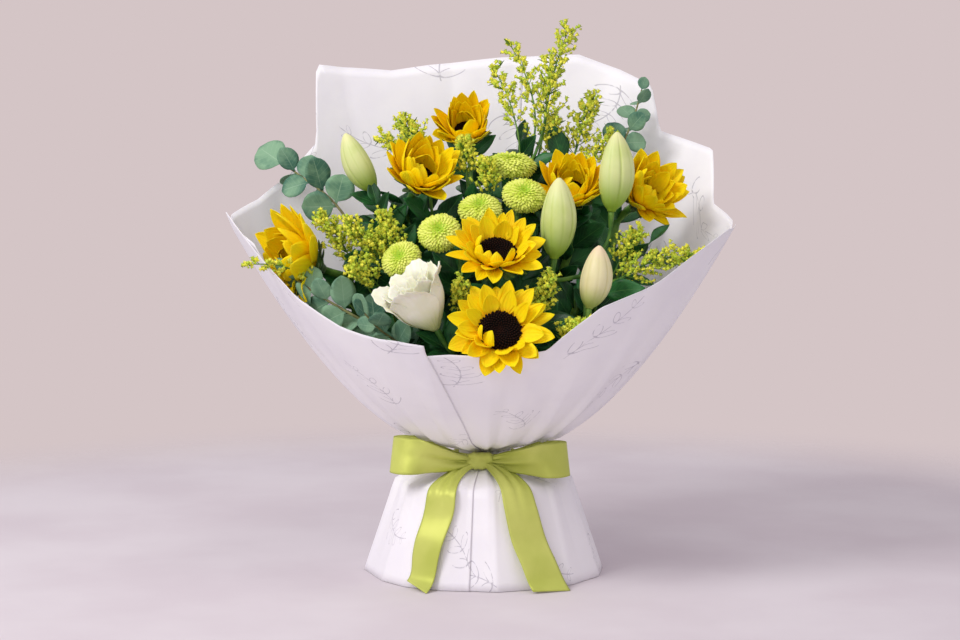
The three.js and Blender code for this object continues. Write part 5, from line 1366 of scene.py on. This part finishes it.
# %% [markdown]
# ## Leaves between the blooms
#
# A florist leaves the upper leaves on each stem, and they fill the bunch so that no gap shows between the
# blooms. They grow from the stems that are there. A leaf is left out where its tip would leave the paper or stand
# in front of a bloom.

# %% Fill the bunch
LOWEST_LEAF, WALL_GAP, BLOOM_GAP = 178, 9, 6
chance = np.random.default_rng(77)
roots, aheads = [], []
for path in stem_paths:
    along = unit(np.gradient(path, axis=0))
    pick = np.flatnonzero((path[:, 2] > LOWEST_LEAF) & (path[:, 2] < path[-1, 2] - 8))
    pick = np.repeat(pick, 2) if len(pick) < 14 else pick
    side = unit(np.cross(along[pick], [0.2, 1.0, 0.1]))
    turn = GOLDEN_ANGLE * np.arange(len(pick)) + chance.uniform(0, 6)
    roots.append(path[pick])
    aheads.append(unit(along[pick] * 0.75 + fan(turn, side, np.cross(side, along[pick])) + [0, -0.15, 0.25]))
roots, aheads = np.concatenate(roots), np.concatenate(aheads)
length = chance.uniform(30, 46, len(roots))
tips = roots + aheads * length[:, None] * 1.02
x, y, z = tips.T
free = np.hypot(x, y) < wrap_radius(np.degrees(np.arctan2(y, x)), z) - WALL_GAP
# A kind of bloom, how far its middle lies ahead of its place, and the room that it keeps clear.
for blooms, ahead, clear in ((SUNFLOWERS, 0, 30), (BUTTONS, 0, 22), (LILY_BUDS, 30, 24), ({"": LISIANTHUS}, 26, 26)):
    for bloom in blooms.values():
        place, look = seat_and_look(bloom)
        for spot in (tips, (tips + roots) / 2):
            off = spot - place - ahead * look
            free &= ~((np.linalg.norm(off, axis=1) < clear + BLOOM_GAP) & (off @ look > -12))
print("leaves kept:", int(free.sum()), "of", len(free))
sizes = np.stack([length * 0.5, length * 0.6, length], -1)
fill = press_from_paper(set_leaves(long_leaves, roots[free], aheads[free], sizes[free], chance))
piece("fine_filling_leaves", fill, [DARK_LEAF], thickness=THICK["leaf"])

# %% [markdown]
# ## Floor and light
#
# The table is pale and slightly pink, and it fades out into a background of the same colour. The light
# is a large soft lamp from the front left, a weaker one from above, a small one from the front and a pale sky all
# round.

# %% Floor
TABLE_TOP, TABLE_SIDES, FADE_START, FADE_END = -0.0004, 96, 0.62, 1.0
rings = np.array([0.0005, 0.3, 0.6, 0.8, 1.05])[:, None]
points = around(rings, full_circle(TABLE_SIDES), TABLE_TOP)
quads, _ = grid_faces(len(rings), TABLE_SIDES, closed=True)
floor_mesh = bpy.data.meshes.new("table")
floor_mesh.from_pydata(points.reshape(-1, 3).tolist(), [], quads.tolist() + [list(range(TABLE_SIDES))])
floor = put("table", floor_mesh)
floor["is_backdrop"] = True
table_finish, tree, shader = new_finish("pale_table")
ground = {"Light": rgb(222, 214, 218), "Dark": rgb(214, 204, 209), "Scale": 5.0, "Tone Reach": 0.0}
plug(shader["Base Color"], use(tree, drift, ground)["Color"])
plug(shader["Roughness"], 0.8)
off_middle = node(tree, "ShaderNodeVectorMath", {0: in_bunch(tree)}, operation="LENGTH")["Value"]
plug(shader["Alpha"], soft_step(off_middle, FADE_END, FADE_START))
floor_mesh.materials.append(table_finish)

# %% Light
world = bpy.data.worlds.new("pale_room")
bpy.context.scene.world = world
world.use_nodes = True
seen = node(world.node_tree, "ShaderNodeLightPath")["Is Camera Ray"]
plug(world.node_tree.nodes["Background"].inputs["Color"], blend(seen, rgb(200, 194, 200), rgb(212, 197, 198)))
LAMPS = [("key_light", (-1.5, -1.2, 1.9), 0.9, 32), ("top_light", (0.2, -0.5, 2.2), 0.8, 5),
         ("front_light", (-0.5, -2.4, 0.7), 0.7, 4)]
for name, place, size, power in LAMPS:
    lamp = bpy.data.lights.new(name, "AREA")
    lamp.size = size
    lamp.energy = power
    made = put(name, lamp)
    made.location = place
    aim = -np.array(place) + [0, 0, 0.25]
    made.rotation_euler = (math.atan2(np.hypot(aim[0], aim[1]), -aim[2]), 0, math.atan2(aim[1], aim[0]) - math.pi / 2)
print("lights:", len(bpy.data.lights))

# %% Finish: measure how far the pieces reach past the imported ones
low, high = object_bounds()
sizes = {"cad": [list(cad_low), list(cad_high)], "visual": [list(low), list(high)]}
print("grown by (mm):", [round((a - b) / MM, 1) for a, b in zip(cad_low, low)],
      [round((b - a) / MM, 1) for a, b in zip(cad_high, high)])
